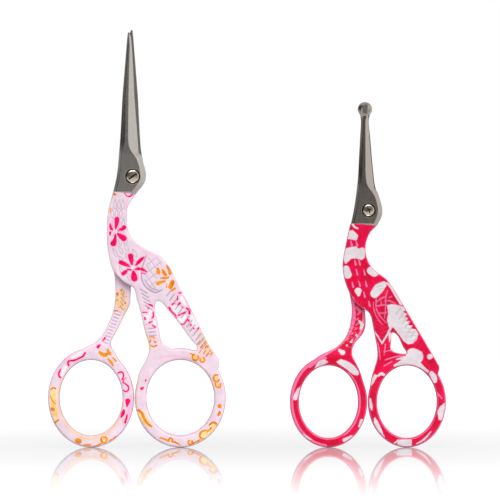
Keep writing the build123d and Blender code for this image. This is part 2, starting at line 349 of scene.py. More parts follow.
def measured_rows(half):
    """The rows, where a back half whose spine shows also follows the front half's outline."""
    heights, rows = own_rows(half)
    if not half.front and half.pair.spine_show:
        front_heights, front_rows = own_rows(next(h for h in halves if h.front and h.pair is half.pair))
        edges = (front_rows[left_at], front_rows[right_at])
        front_left, front_right = (np.interp(heights, front_heights, edge) for edge in edges)
        rows[right_at] = np.minimum(rows[right_at], -front_left - tuck)
        lower, upper = ((heights - half.pair.pivot_z - end) / spine_ease for end in half.pair.spine_run)
        shown = half.pair.spine_show * smooth_step(lower) * (1 - smooth_step(upper))
        spine = np.minimum(rows[left_at], -front_right - shown)
        rows[left_at] = np.where(shown > 0, spine, rows[left_at])
    return heights, rows


print("sections up the tall blade", len(own_rows(halves[0])[0]))


# %% Loft and lathe
def loft(name, rows):
    """A solid through rows that have the same number of points."""
    count = len(rows[0])
    faces = [tuple(range(count)), tuple(range((len(rows) - 1) * count, len(rows) * count))]
    for r in range(len(rows) - 1):
        for i in range(count):
            a, b = r * count + i, r * count + (i + 1) % count
            faces.append((a, b, b + count, a + count))
    return new_object(name, np.concatenate(rows), faces)


def lathe(name, half, profile, segments=72):
    """A turned solid on the screw's axis, from radii and depths as the half sees them."""
    turns = np.arange(segments) * 2 * np.pi / segments
    rows = []
    for radius, depth in profile:
        ring = [radius * np.cos(turns), np.full(segments, depth), half.pair.pivot_z + radius * np.sin(turns)]
        rows.append(half.placed(np.column_stack(ring)))
    return loft(name, rows)


# %% Blade body
ridge_flow = 1.1  # how softly the ridge runs over into the plate's bevel
outline_flow = 0.15
heel_flow = 3.0  # how slowly the cutting edge thickens into the plate's rim
inner = 0.025  # from the plane where the halves meet to a half's flat face
hollow = 0.07  # of the ground bevel on the plate, as the wheel leaves it
ridge_share, edge_share = 0.55, 0.45  # of the ridge's and the cutting edge's places, for the hollow's own
least_bevel, least_face_strip, most_bevel = 0.1, 0.05, 0.5  # of a section's width
waist_share = 0.4  # of a half's thickness, where the hidden steel shrinks to
tail_shrink = 0.16  # of the section, under the coating
hidden_start = 0.1  # from the coating's edge down to where the steel starts to shrink


def blade_body(half):
    """The steel without its ball and screw hole, lofted through its measured sections."""
    heights, rows = measured_rows(half)
    flows = [ridge_flow, ridge_flow, ridge_flow, outline_flow, ridge_flow, outline_flow, heel_flow]
    rows = [flowed(row, reach) for row, reach in zip(rows, flows)]
    sections = []
    for height, measures in zip(heights, np.transpose(rows)):
        left, shoulder, ridge, right, left_depth, face, right_depth = measures
        width = right - left
        shoulder = min(max(shoulder, left + least_bevel * width), right - most_bevel * width)
        ridge = max(min(ridge, right - least_bevel * width), shoulder + least_face_strip * width)
        dish = hollow * min(right_depth, 1)
        dished = [ridge_share * flat + edge_share * edge - dish
                  for flat, edge in ((ridge, right), (face, right_depth))]
        corners = [(left, inner), (left, left_depth), (shoulder, face), (ridge, face), dished]
        corners += [(right, right_depth), (right, inner)]
        section = eased(np.array(corners))
        under = smooth_step((half.coat_height(section[:, 0]) - height - hidden_start) / row_step)
        waist = np.array([(left + right) / 2, waist_share * face])
        section += (waist - section) * (tail_shrink * under)[:, None]
        sections.append(half.placed(np.column_stack([section, np.full(len(section), height)])))
    return loft(half.name + "_blade", sections)


# %% [markdown]
# ## The ball
# The short pair's blades end in a small ball, half on each, that keeps the point from catching in the cloth.
# It could be drawn into the loft, but a sphere that is joined on is rounder. Planes cut it flat inside and
# grind three facets on its outer side.

# %% Ball
ball_radius = 2.0
ball_facet = 1.56  # from the middle of the ball out to its ground facets
ball_facet_sides = [(0.0, 0.14), (0.55, 0.5), (-0.75, -0.75)]  # each facet's place and its slope


def ball(half, side):
    """Half of the safety ball, flat inside, with facets ground on its outer side."""
    mesh = bmesh.new()
    bmesh.ops.create_uvsphere(mesh, u_segments=64, v_segments=40, radius=ball_radius)
    cuts = [((0, inner, 0), (0, -1, 0))]
    cuts += [((place, ball_facet, 0), (slope, 1, 0)) for place, slope in ball_facet_sides]
    for place, normal in cuts:
        parts = mesh.verts[:] + mesh.edges[:] + mesh.faces[:]
        bmesh.ops.bisect_plane(mesh, geom=parts, plane_co=place, plane_no=normal, clear_outer=True)
        rim = [e for e in mesh.edges if e.is_boundary]
        bmesh.ops.holes_fill(mesh, edges=rim, sides=0)
    points = np.array([v.co for v in mesh.verts])
    faces = [[v.index for v in f.verts] for f in mesh.faces]
    mesh.free()
    points += [side, 0, half.pair.pivot_z + ball_up]
    return new_object("ball", half.placed(points), faces)


# %% [markdown]
# ## Recess and hole
# The front half has a sunk recess for the screw's head and a hole that turns on its shank. In the back half
# the screw sits in a thread, of which only the countersunk end shows. One turned tool cuts each of them out,
# as a drill does, and the places far down get a painted shade.

# %% Steel
screw_sink = 0.08
recess_room = 0.36  # round the screw's head
recess_break = 0.1  # chamfer at the recess's mouth
floor_room = 0.05  # under the screw's head
front_hole_room, back_hole_room = 0.05, 0.02  # round the shank: it turns in the front half
countersink = 0.08  # at the back, where the shank's end shows
past_inner, past_outer = 1.0, 0.5  # how far the cutting tool runs on beyond a half's faces
shade_depth, shade_run = 0.12, 0.2  # from the outer face to where the painted shade begins, and on to where it is full
wall_play = 0.02  # round the recess, within which its own points are found


def steel(half):
    """The bare steel of a half: blade, ball and plate, with the recess and the hole for the screw."""
    pair = half.pair
    obj = blade_body(half)
    if pair is rounded:
        points = vertex_array(obj.data)
        tip = half.seen(points[points[:, 2] > points[:, 2].max() - row_step / 2])
        obj = boolean(obj, ball(half, (tip[:, 0].min() + tip[:, 0].max()) / 2), "UNION")
    hole = pair.shank_radius + (front_hole_room if half.front else back_hole_room)
    recess = pair.head_radius + recess_room
    depth = pair.outer - screw_sink - pair.head_height - floor_room
    wide, broken = (recess, recess_break) if half.front else (hole, countersink)
    profile = [(hole, -past_inner), (hole, depth), (recess, depth)] if half.front else [(hole, -past_inner)]
    profile += [(wide, pair.outer - broken), (wide + broken + past_outer, pair.outer + past_outer)]
    obj = boolean(obj, lathe("bore", half, profile), "DIFFERENCE")
    seen = half.seen(vertex_array(obj.data))
    near = np.hypot(seen[:, 0], seen[:, 2] - pair.pivot_z) < recess + wall_play
    # Painted shade: the recess is darkened where it lies deeper than a little below the outer face.
    dirt = smooth_step((pair.outer - shade_depth - seen[:, 1]) / shade_run)
    keep(obj.data, "dirt", np.where(near, dirt, 0))
    return obj


# %% [markdown]
# ## The screws
# A screw has a domed head with a slot, or a short cross, and a plain shank that ends just below the back
# face. It is turned from a profile, as on a lathe, and the slots are cut by boxes. A cylinder with bevelled
# edges would do from afar, but the profile gives the low dome and the rounded edge that catch the light.

# %% Screws
slot_cut, slot_tool = 0.42, 0.6  # the slots' depth below the dome's top, and the height of what cuts them
dome_rise = 0.16  # over the head's whole radius
dome_shares = (0.93, 0.8, 0.6, 0.4, 0.2, 0.01)  # of the head's radius, from the rim to the middle
rim_share = 0.985  # of the head's radius, where its edge begins to turn over
rim_drop, edge_drop = 0.19, 0.26  # from the dome's top down to there and to the straight side
end_chamfer, seat_chamfer = 0.12, 0.04
middle_radius = 0.01  # where the turning stops
slot_shade = 0.92  # painted shade on the slots' floor, where 1 would be the dark shade colour alone
slot_play = 0.01  # over the slots' floor, within which its own points are found


def screw(half):
    """The pivot screw of a pair, turned as its front half sees it and slotted."""
    pair = half.pair
    top = pair.outer - screw_sink
    floor = top - pair.head_height
    radius, shank = pair.head_radius, pair.shank_radius
    end = -pair.outer + screw_sink
    dome = [(radius * share, top - dome_rise * share * share) for share in dome_shares]
    profile = [(middle_radius, end), (shank - end_chamfer, end), (shank, end + end_chamfer), (shank, floor)]
    profile += [(radius - seat_chamfer, floor), (radius, floor + seat_chamfer), (radius, top - edge_drop)]
    profile += [(radius * rim_share, top - rim_drop), *dome]
    obj = lathe(pair.name + "_pivot_screw_turned", half, profile, segments=96)
    for i in range(pair.slots):
        turn = math.radians(pair.slot_turn + 90 * i)
        along = np.array([math.cos(turn), 0, math.sin(turn)])
        aside = np.array([-math.sin(turn), 0, math.cos(turn)])
        centre = np.array([0, top - slot_cut, pair.pivot_z])
        ends, sides = pair.slot_reach * along, pair.slot_width / 2 * aside
        corners = []
        for depth in (0, slot_tool):
            for a, b in ((-1, -1), (1, -1), (1, 1), (-1, 1)):
                corners.append(centre + a * ends + b * sides + [0, depth, 0])
        faces = [(0, 1, 2, 3), (4, 5, 6, 7), (0, 1, 5, 4), (1, 2, 6, 5), (2, 3, 7, 6), (3, 0, 4, 7)]
        slot = new_object("slot", half.placed(np.array(corners)), faces)
        obj = boolean(obj, slot, "DIFFERENCE")
    seen = half.seen(vertex_array(obj.data))
    # Painted shade on the slots' floor.
    keep(obj.data, "dirt", np.where(seen[:, 1] < top - slot_cut + slot_play, slot_shade, 0))
    return obj


# %% [markdown]
# ## The coated handles
# A handle is the solid below the coating's edge, remeshed in small even faces and smoothed, so that its
# edges are as round as an enamelled forging's. A bevel along the solid's own edges would need fewer faces,
# but it fails where many short edges meet, and the small faces are wanted for the relief anyway. Near the
# plate the handle's edges are pressed down to the steel's bevels, so that the coating lies flat on the steel.

# %% Handle blanks
voxel = 0.17
smoothing_rounds, smoothing_share = 30, 0.5
spare = 1.0  # of the neck over the coating's edge, cut off once it has been smoothed
weld = 1e-4  # corners this close are one


def cut_at_coat(half, mesh, above=0.0):
    """Takes off what lies over the coating line, or over a line that much higher, and closes the cut."""
    (x0, _, z0), (x1, _, z1) = half.placed(np.array([[u, 0, z + above] for u, z in half.coat_line]))
    upward = Vector((z0 - z1, 0, x1 - x0))
    upward *= math.copysign(1, upward.z)
    work = bmesh.new()
    work.from_mesh(mesh)
    bmesh.ops.remove_doubles(work, verts=work.verts, dist=weld)
    parts = work.verts[:] + work.edges[:] + work.faces[:]
    bmesh.ops.bisect_plane(work, geom=parts, plane_co=(x0, 0, z0), plane_no=upward, clear_outer=True)
    bmesh.ops.holes_fill(work, edges=[e for e in work.edges if e.is_boundary], sides=0)
    work.to_mesh(mesh)
    work.free()


def handle_blank(half):
    """The half's solid below its coating line, remeshed evenly and smoothed, with a crisp upper end."""
    mesh = nodes[half.node].data.copy()
    mesh.transform(Matrix.Scale(1 / MM, 4))
    cut_at_coat(half, mesh, spare)
    obj = bpy.data.objects.new(half.name + "_handle", mesh)
    scene.collection.objects.link(obj)
    remesh = obj.modifiers.new("remesh", "REMESH")
    remesh.mode = "VOXEL"
    remesh.voxel_size = voxel
    smooth = obj.modifiers.new("smooth", "SMOOTH")
    smooth.factor = smoothing_share
    smooth.iterations = smoothing_rounds
    apply_modifiers(obj)
    cut_at_coat(half, obj.data)
    return obj


# %% Pressed bevels
coat = 0.02  # thickness of the enamel
bevel_run = 3.2  # from the coating's edge down to where the handle has its full section
neck_step = 0.4  # between the neck's measured sections


def press_bevels(half, seen):
    """Depths of the handle's points with its edges pressed down to the steel's bevels near the plate."""
    tris = triangles(half.node)
    top = min(z for _, z in half.coat_line)
    steel_row = blade_section(half, tris, max(z for _, z in half.coat_line) + clear_of_coat)
    left, shoulder, ridge, right, left_depth, face, right_depth = steel_row
    heights = np.arange(top - bevel_run - neck_step, top, neck_step)
    rows = np.array([blade_section(half, tris, h) for h in heights])
    own_left = np.interp(seen[:, 2], heights, rows[:, left_at])
    own_right = np.interp(seen[:, 2], heights, rows[:, right_at])
    left_rise = left_depth + (seen[:, 0] - own_left) * (face - left_depth) / (shoulder - left)
    right_rise = right_depth + (own_right - seen[:, 0]) * (face - right_depth) / (right - ridge)
    limit = np.minimum(np.minimum(left_rise, right_rise), face) + coat
    below = half.coat_height(seen[:, 0]) - seen[:, 2]
    share = smooth_step(below / bevel_run)
    free = np.maximum(seen[:, 1], limit)
    return np.minimum(seen[:, 1], limit * (1 - share) + free * share)


# %% [markdown]
# ## Strokes and patches
# Every printed or pressed shape is a stroke or a patch. A stroke is a chain of points with a radius at each,
# as a brush leaves it, and a patch is a closed outline. What is kept of them is how far each place is from
# their edge, in picture pixels and negative inside. A painted image would need far more numbers for an edge
# as crisp.

# %% Distances
near_by = 12  # pixels round a motif within which its distance is worked out


def softened(chain, rounds=2):
    """A chain of three or more points with its corners cut off, so that it bends like a brush stroke."""
    for _ in range(rounds if len(chain) > 2 else 0):
        cut = [chain[0]]
        for a, b in zip(chain, chain[1:]):
            cut += [tuple(p + (q - p) * share for p, q in zip(a, b)) for share in (0.25, 0.75)]
        chain = cut + [chain[-1]]
    return chain


def stroke_distance(places, chain):
    """Signed distance from places to a chain of (column, row, radius)."""
    chain = softened(chain)
    nearest = np.full(len(places), far_away)
    low = np.min(chain, 0)[:2] - near_by
    high = np.max(chain, 0)[:2] + near_by
    close = ((places > low) & (places < high)).all(1)
    spots = places[close]
    found = np.full(len(spots), far_away)
    for (x0, y0, r0), (x1, y1, r1) in zip(chain, chain[1:]):
        along = np.array([x1 - x0, y1 - y0])
        share = np.clip(((spots - [x0, y0]) @ along) / max(along @ along, tiny), 0, 1)
        gap = np.hypot(*(spots - [x0, y0] - share[:, None] * along).T)
        found = np.minimum(found, gap - (r0 + (r1 - r0) * share))
    nearest[close] = found
    return nearest


def patch_distance(places, outline):
    """Signed distance from places to a closed outline, negative inside."""
    outline = np.array(outline, dtype=float)
    nearest = np.full(len(places), far_away)
    close = ((places > outline.min(0) - near_by) & (places < outline.max(0) + near_by)).all(1)
    spots = places[close]
    gap = np.full(len(spots), far_away)
    inside = np.zeros(len(spots), dtype=bool)
    for a, b in zip(outline, np.roll(outline, -1, 0)):
        along = b - a
        share = np.clip(((spots - a) @ along) / max(along @ along, tiny), 0, 1)
        gap = np.minimum(gap, np.hypot(*(spots - a - share[:, None] * along).T))
        crosses = (a[1] > spots[:, 1]) != (b[1] > spots[:, 1])
        level = a[0] + (spots[:, 1] - a[1]) * along[0] / (along[1] if along[1] else tiny)
        inside ^= crosses & (spots[:, 0] < level)
    nearest[close] = np.where(inside, -gap, gap)
    return nearest


def union(places, strokes=(), patches=()):
    """Signed distance from places to all the strokes and patches taken together."""
    nearest = np.full(len(places), far_away)
    for chain in strokes:
        nearest = np.minimum(nearest, stroke_distance(places, chain))
    for outline in patches:
        nearest = np.minimum(nearest, patch_distance(places, outline))
    return nearest


# %% Brush strokes
def petals(centre, ends, narrow, start_share=0.25, belly_share=0.68, belly_radius_share=0.92):
    """Teardrop petals from near a flower's centre to each of their ends, a (column, row, radius)."""
    chains = []
    for end in ends:
        way = np.subtract(end[:2], centre)
        first, belly = (np.add(centre, share * way) for share in (start_share, belly_share))
        chains.append([(*first, narrow), (*belly, belly_radius_share * end[2]), end])
    return chains


def curved(start, middle, end, radii=(0.8, 0.8), steps=6):
    """A stroke along a curve through three points."""
    chain = []
    for i in range(steps + 1):
        t = i / steps
        x, y = (
            (1 - t) * (1 - 2 * t) * a + 4 * t * (1 - t) * b + t * (2 * t - 1) * c
            for a, b, c in zip(start, middle, end)
        )
        chain.append((x, y, radii[0] + (radii[1] - radii[0]) * t))
    return chain


def ring_arc(centre, half_size, start, stop, radius, steps=24):
    """A stroke along part of an oval, between two angles in degrees that turn clockwise from the right."""
    (x, y), (x_half, y_half) = centre, half_size
    turns = np.radians(np.linspace(start, stop, steps))
    return [(x + x_half * math.cos(turn), y + y_half * math.sin(turn), radius) for turn in turns]


def dot(column, row, radius):
    """A round spot, as a stroke that ends where it begins."""
    return [(column, row, radius)] * 2


def dashes(places, start, stop):
    """The same short stroke at many places, from its ends' (across, down, radius)."""
    return [[(c + x, r + y, radius) for x, y, radius in (start, stop)] for c, r in places]


probe = np.array([[0.0, 0.0], [0.0, 3.0]])
print("distances to the edge of a dot of radius 2", union(probe, [dot(0.0, 0.0, 2.0)]))

# %% [markdown]
# ## The pointed pair's print and relief
# The real print is probably a transfer, baked on under a clear coat, and it wraps a little way round the
# edges. An image would blur when it is seen from close by, so each motif is drawn with strokes and patches
# instead. A pale pink ground carries two magenta flowers, an orange one, and smaller petals and curls on the
# legs and rings.

# %% Magenta flowers
first_flower = petals((115.4, 231.8), [(117.0, 219.3, 2.5), (123.9, 238.4, 2.9)], narrow=0.7)
first_flower += [
    [(115.4, 234.6, 0.8), (114.9, 240.0, 1.9), (113.3, 243.4, 3.0)],
    [(118.7, 231.0, 0.6), (119.9, 228.8, 1.2), (121.4, 230.0, 1.1)],
    [(121.4, 230.2, 1.1), (124.2, 227.4, 2.2)],
    [(117.3, 233.6, 0.35), (117.4, 235.2, 0.4)],
]
second_flower = petals(
    (132.6, 267.8), [(134.5, 278.5, 3.2), (130.5, 256.0, 2.7), (120.8, 262.3, 2.3)], narrow=0.8,
)
second_flower += [
    [(135.8, 265.3, 0.9), (139.6, 260.9, 2.2), (144.0, 257.2, 0.8)],
    [(135.8, 269.0, 1.1), (138.9, 268.8, 1.7)],
    [(141.7, 269.0, 1.5), (146.6, 271.6, 0.6)],
    [(141.2, 273.0, 0.5), (145.0, 273.6, 0.4)],
    [(131.0, 270.0, 0.8), (127.6, 269.5, 0.9)],
    [(125.6, 271.6, 1.9), (123.0, 273.6, 2.0)],
]
print("strokes in the two flowers", len(first_flower), len(second_flower))

# %% Magenta on legs and rings
leg_petals = [
    [(149.3, 304.6, 0.8), (151.4, 305.0, 0.8), (152.9, 306.8, 0.6)],
    [(148.0, 307.6, 0.6), (148.4, 308.8, 0.7)],
    [(142.9, 312.4, 0.8), (147.0, 312.4, 0.6)],
    [(153.0, 312.0, 0.7), (153.8, 316.1, 0.9), (151.8, 318.5, 0.7)],
    [(144.6, 317.6, 0.7), (145.2, 319.2, 1.0)],
    [(149.2, 322.8, 0.8), (152.0, 321.5, 0.6)],
    dot(146.1, 324.4, 0.6),
    [(152.4, 325.3, 0.7), (155.6, 327.1, 0.8)],
]
tail_petals = [
    [(179.2, 292.9, 0.8), (181.0, 292.9, 0.7)],
    [(177.8, 295.7, 0.4), (177.4, 299.5, 0.8)],
    [(172.2, 304.3, 0.9), (175.0, 303.3, 0.5)],
    [(169.2, 307.8, 1.1), (171.7, 311.8, 0.7), (175.5, 314.9, 0.7), (176.5, 318.1, 0.5)],
    [(178.0, 305.0, 0.7), (179.6, 303.4, 1.2)],
    [(181.4, 306.4, 0.5), (183.0, 307.4, 0.5)],
    [(186.6, 308.2, 1.0), (188.2, 309.4, 1.1)],
    [(189.4, 311.4, 1.0), (189.6, 313.4, 1.2)],
    [(178.2, 315.6, 0.7), (185.2, 312.2, 0.9)],
    [(188.0, 319.6, 0.7), (189.0, 321.0, 0.9)],
    dot(190.8, 325.1, 1.1),
    dot(193.6, 328.6, 0.9),
    [(197.8, 329.3, 0.8), (198.6, 328.0, 0.9)],
    [(181.2, 323.8, 0.6), (183.3, 324.8, 0.7), (186.3, 322.0, 0.5), (187.8, 317.2, 0.4)],
    [(183.8, 295.9, 0.3), (190.6, 310.2, 0.3)],
]
ring_curls = [
    [(85.1, 353.0, 1.0), (82.8, 356.6, 1.0), (78.3, 358.5, 0.9), (73.7, 360.8, 1.1), (69.9, 360.4, 0.9),
     (67.5, 362.3, 0.9), (68.7, 365.4, 1.0)],
    [(61.0, 368.7, 0.4), (58.8, 372.8, 1.1), (58.8, 376.0, 0.9), (60.6, 377.6, 0.8)],
    [(118.0, 373.2, 0.7), (121.0, 371.5, 0.8), (123.7, 373.6, 0.8), (123.5, 377.4, 0.8),
     (121.9, 379.8, 0.8)],
    [(126.0, 377.6, 0.4), (122.0, 381.6, 0.7), (125.7, 384.0, 0.8), (128.7, 386.8, 0.9), (128.7, 389.8, 0.8),
     (126.2, 392.0, 0.8), (123.4, 390.4, 0.6)],
    [(127.8, 401.0, 2.7), (126.9, 406.4, 0.9)],
    [(123.8, 410.6, 1.3), (122.8, 414.0, 2.1), (120.9, 417.6, 0.6)],
    [(127.2, 414.8, 0.8), (125.2, 422.6, 1.2)],
    [(104.8, 337.9, 1.0), (102.8, 340.6, 0.8)],
    [(98.0, 346.9, 1.6), (100.1, 344.9, 0.8)],
    [(145.7, 380.0, 0.9), (145.4, 381.4, 0.6)],
    [(141.7, 388.6, 1.6), (143.3, 387.4, 0.7)],
    curved((124.2, 192.2), (127.8, 196.6), (132.2, 194.6), (0.5, 0.9)),
]
pink_magenta = {
    "strokes": first_flower + second_flower + leg_petals + tail_petals + ring_curls,
    "patches": [
        [(110.1, 222.2), (113.4, 229.4), (112.4, 230.8), (109.6, 229.4), (109.2, 225.0)],
        [(111.9, 231.4), (110.8, 234.8), (109.2, 236.0), (109.0, 231.6)],
    ],
}
print("magenta strokes", len(pink_magenta["strokes"]))

# %% White patches
pink_white = {
    "strokes": [
        [(112.9, 236.8, 0.4), (112.6, 240.6, 1.0)],
        dot(115.4, 231.8, 0.9),
        dot(132.6, 267.8, 0.9),
        [(136.6, 262.6, 0.6), (135.2, 265.4, 0.3)],
    ],
    "patches": [
        [(68.0, 361.5), (72.0, 356.8), (79.0, 352.8), (84.6, 351.8), (83.8, 354.4), (80.5, 357.2),
         (74.0, 359.6)],
        [(61.6, 368.6), (66.4, 364.6), (68.2, 366.6), (65.0, 371.0), (62.4, 376.6), (60.0, 376.4),
         (59.6, 373.0)],
        [(180.0, 296.0), (184.0, 296.5), (189.5, 307.0), (187.0, 309.0), (182.5, 303.0), (179.5, 300.0)],
        [(171.8, 306.0), (177.0, 304.5), (182.5, 307.0), (185.2, 310.6), (178.0, 315.0), (173.4, 311.8)],
        [(189.6, 312.4), (193.0, 316.0), (199.0, 328.0), (194.0, 328.0), (190.0, 321.4)],
        [(178.0, 318.0), (185.0, 313.8), (187.0, 319.0), (184.0, 323.8), (180.6, 322.8)],
        [(150.2, 306.4), (153.0, 307.5), (153.2, 313.0), (151.4, 317.0), (148.4, 314.2), (150.2, 310.8)],
        [(143.6, 314.0), (149.2, 316.0), (148.6, 321.4), (146.2, 323.2), (144.2, 316.8)],
        [(152.8, 320.0), (155.8, 320.8), (156.2, 325.6), (152.8, 324.0)],
    ],
}
print("white patches", len(pink_white["patches"]))

# %% Orange on body and legs
tail_dashes = [
    (198.8, 342.6), (205.2, 341.6), (201.6, 346.4), (205.8, 347.2), (200.4, 351.2), (204.8, 351.8),
    (208.8, 345.8), (211.0, 350.0),
]
orange_body = [
    [(157.8, 269.0, 1.5), (158.4, 272.4, 2.1)],
    [(162.4, 269.8, 0.9), (164.0, 273.2, 1.9), (165.6, 274.8, 1.3)],
    [(166.8, 265.4, 0.9), (169.0, 269.4, 1.5), (170.2, 273.0, 1.9)],
    [(160.6, 278.2, 0.7), (164.6, 278.0, 1.3), (168.4, 277.6, 1.0)],
    [(157.9, 283.6, 1.8), (161.4, 282.1, 1.5), (165.4, 281.2, 0.6)],
    [(170.4, 286.8, 2.4), (172.6, 281.8, 2.1)],
    [(166.8, 283.2, 0.4), (166.6, 287.4, 0.6)],
    [(171.6, 291.2, 0.7), (174.8, 288.4, 1.1)],
    [(110.5, 208.0, 0.6), (110.3, 212.4, 0.8)],
    [(117.1, 293.6, 1.2), (117.2, 295.0, 1.0)],
    dot(120.9, 290.4, 1.0),
    dot(123.2, 294.6, 0.8),
    dot(126.0, 296.7, 0.8),
    dot(120.9, 297.8, 0.8),
    dot(117.0, 300.4, 1.3),
    dot(125.0, 303.2, 1.2),
    [(114.6, 311.0, 0.9), (117.0, 310.6, 0.6)],
    dot(118.6, 307.4, 0.8),
    dot(123.8, 309.0, 0.8),
    [(149.6, 337.6, 0.6), (151.8, 336.8, 1.0), (155.0, 338.2, 0.6)],
    [(150.4, 340.4, 1.0), (149.8, 342.6, 0.7)],
    [(150.8, 345.2, 0.6), (153.2, 347.0, 1.0), (156.8, 345.4, 0.7)],
    [(154.4, 341.6, 0.9), (156.2, 342.8, 0.6)],
    [(206.4, 356.0, 0.8), (208.4, 353.2, 0.9)],
    [(210.8, 354.6, 0.7), (213.0, 351.8, 0.8)],
    [(190.2, 353.2, 0.6), (193.0, 354.8, 0.8)],
    [(113.4, 193.6, 1.6), (114.8, 194.4, 1.5)],
    *dashes(tail_dashes, (-1.1, 1.6, 0.7), (1.1, -1.6, 0.7)),
]
print("orange strokes on body and legs", len(orange_body))

# %% Orange on the rings
# Round curls: middle, half size, and the angles between which the line runs
orange_loops = [
    ((190.2, 442.6), 2.2, -40, 250), ((195.4, 357.4), 3.0, -30, 250), ((202.4, 359.8), 2.3, -60, 200),
    ((104.0, 439.8), 3.0, -120, 210), ((170.6, 440.0), 1.8, 150, 400),
]
orange_rings = [
    [(99.8, 352.4, 1.6), (104.2, 355.6, 2.3), (107.6, 353.8, 1.2)],
    [(107.4, 350.0, 1.1), (109.8, 353.8, 1.7)],
    [(107.8, 358.8, 0.7), (110.6, 361.6, 1.5), (113.0, 365.2, 0.9)],
    [(112.6, 357.6, 0.6), (116.0, 360.8, 1.0)],
    [(51.0, 389.8, 0.8), (52.6, 387.2, 0.9), (55.8, 388.8, 0.7)],
    [(50.4, 396.4, 0.7), (52.4, 401.4, 0.8), (55.6, 404.0, 0.6)],
    [(52.2, 409.4, 1.9), (53.4, 409.6, 1.8)],
    [(54.8, 422.8, 1.2), (58.2, 420.2, 1.0)],
    [(77.4, 440.4, 2.6), (79.2, 441.2, 2.6)],
    [(84.0, 445.0, 0.9), (90.0, 445.0, 1.0)],
    [(94.0, 446.6, 0.8), (97.6, 445.6, 1.0), (101.2, 443.0, 0.8)],
    [(109.4, 440.6, 0.8), (112.6, 439.4, 0.9), (116.0, 436.2, 0.6)],
    [(138.4, 410.2, 1.2), (142.2, 413.0, 1.3), (144.0, 418.6, 1.4), (147.0, 423.4, 1.2),
     (151.6, 426.6, 0.8)],
    [(217.8, 375.0, 0.8), (213.8, 375.0, 1.0), (213.4, 380.0, 1.1), (217.4, 382.4, 1.2),
     (219.0, 379.6, 0.8)],
    [(215.0, 383.0, 0.8), (216.4, 387.4, 1.2), (220.2, 387.4, 1.2), (220.8, 383.4, 0.7)],
    [(209.4, 425.0, 0.8), (213.0, 421.6, 1.1), (217.8, 425.2, 1.2), (215.8, 431.4, 1.1),
     (210.4, 434.8, 0.8)],
    [(206.4, 430.2, 0.8), (200.8, 431.6, 1.1), (199.2, 436.8, 1.2), (203.4, 440.0, 1.1),
     (208.8, 436.8, 0.8)],
    [(211.4, 427.8, 0.8), (207.0, 432.2, 0.8)],
    [(160.4, 437.8, 0.9), (165.0, 439.4, 1.0), (168.2, 441.0, 1.0)],
    [(172.6, 441.8, 0.9), (177.0, 443.0, 0.9), (180.0, 445.0, 0.8)],
    [(191.6, 444.4, 0.9), (195.4, 442.0, 0.8), (199.8, 440.4, 1.0)],
    dot(219.6, 406.0, 2.2),
    [(218.6, 414.8, 1.5), (219.6, 412.4, 1.5)],
    *[ring_arc(middle, (size, size), start, stop, 0.95) for middle, size, start, stop in orange_loops],
]
pink_orange = {"strokes": orange_body + orange_rings, "patches": []}
print("orange strokes", len(pink_orange["strokes"]))

# %% Yellow
pink_yellow = {
    "strokes": [
        *[dot(*middle, size) for middle, size, _, _ in orange_loops],
        dot(216.0, 378.4, 2.0),
        dot(218.4, 385.2, 1.7),
        [(213.6, 426.8, 2.6), (209.4, 431.4, 2.0), (203.4, 435.6, 2.6)],
    ],
    "patches": [
        [(51.4, 387.5), (55.6, 387.5), (56.4, 404.0), (58.0, 417.0), (58.8, 421.0), (56.0, 423.0),
         (52.5, 413.0), (50.0, 400.0), (50.3, 391.0)],
        [(137.4, 409.4), (141.4, 409.6), (145.4, 413.6), (147.6, 418.8), (152.6, 425.4), (151.0, 428.2),
         (145.8, 425.8), (141.2, 420.8), (138.2, 414.6)],
    ],
}
print("yellow strokes", len(pink_yellow["strokes"]), "patches", len(pink_yellow["patches"]))

# %% Washes of peach and blush
left_ring = (90.9, 398.0)
pink_peach = {
    "strokes": [
        [(121.4, 292.0, 3.6), (120.6, 305.0, 5.0)],
        [(127.6, 304.0, 1.0), (121.0, 322.0, 0.8), (113.0, 338.0, 1.0)],
        [(113.0, 346.0, 2.0), (124.0, 362.0, 1.2), (131.0, 378.0, 1.0), (133.4, 394.0, 0.6)],
        [(143.6, 326.0, 0.4), (148.0, 342.0, 2.0), (148.6, 350.0, 1.4)],
        [(140.0, 372.0, 0.6), (136.4, 388.0, 0.5), (136.0, 404.0, 0.6), (140.0, 418.0, 1.0)],
        [(199.0, 330.0, 0.6), (210.0, 350.0, 2.6)],
        [(173.0, 262.0, 1.4), (178.6, 276.0, 1.6), (182.0, 288.0, 0.8)],
        ring_arc(left_ring, (32.2, 40.2), 10, 210, 1.7),
    ],
    "patches": [],
}
pink_blush = {
    "strokes": [
        [(62.0, 362.0, 1.8), (72.0, 352.0, 1.8), (84.0, 345.0, 1.6), (100.0, 338.6, 1.2)],
        [(131.6, 396.0, 1.8), (130.0, 410.0, 2.4), (124.0, 424.0, 1.6)],
        [(108.0, 216.0, 0.8), (108.6, 240.0, 0.6)],
        [(127.4, 200.0, 1.0), (125.4, 210.0, 0.8)],
        [(137.4, 246.0, 0.8), (146.0, 252.0, 0.8), (158.0, 257.0, 1.0)],
        [(114.6, 268.0, 1.0), (115.2, 282.0, 1.0)],
        [(178.0, 332.0, 0.6), (190.0, 348.0, 0.6)],
        [(160.0, 357.6, 0.8), (178.0, 355.0, 1.2), (196.0, 361.0, 0.8)],
    ],
    "patches": [],
}
print("peach strokes", len(pink_peach["strokes"]), "blush strokes", len(pink_blush["strokes"]))

# %% [markdown]
# The bird's neck and body carry rows of pressed feathers, its wing a lattice, and its legs short bars. The
# forging die strikes them. Each could be sculpted, but strokes are placed more evenly, and the same kind of
# distance that prints the flowers then tells how deep the surface is pressed.


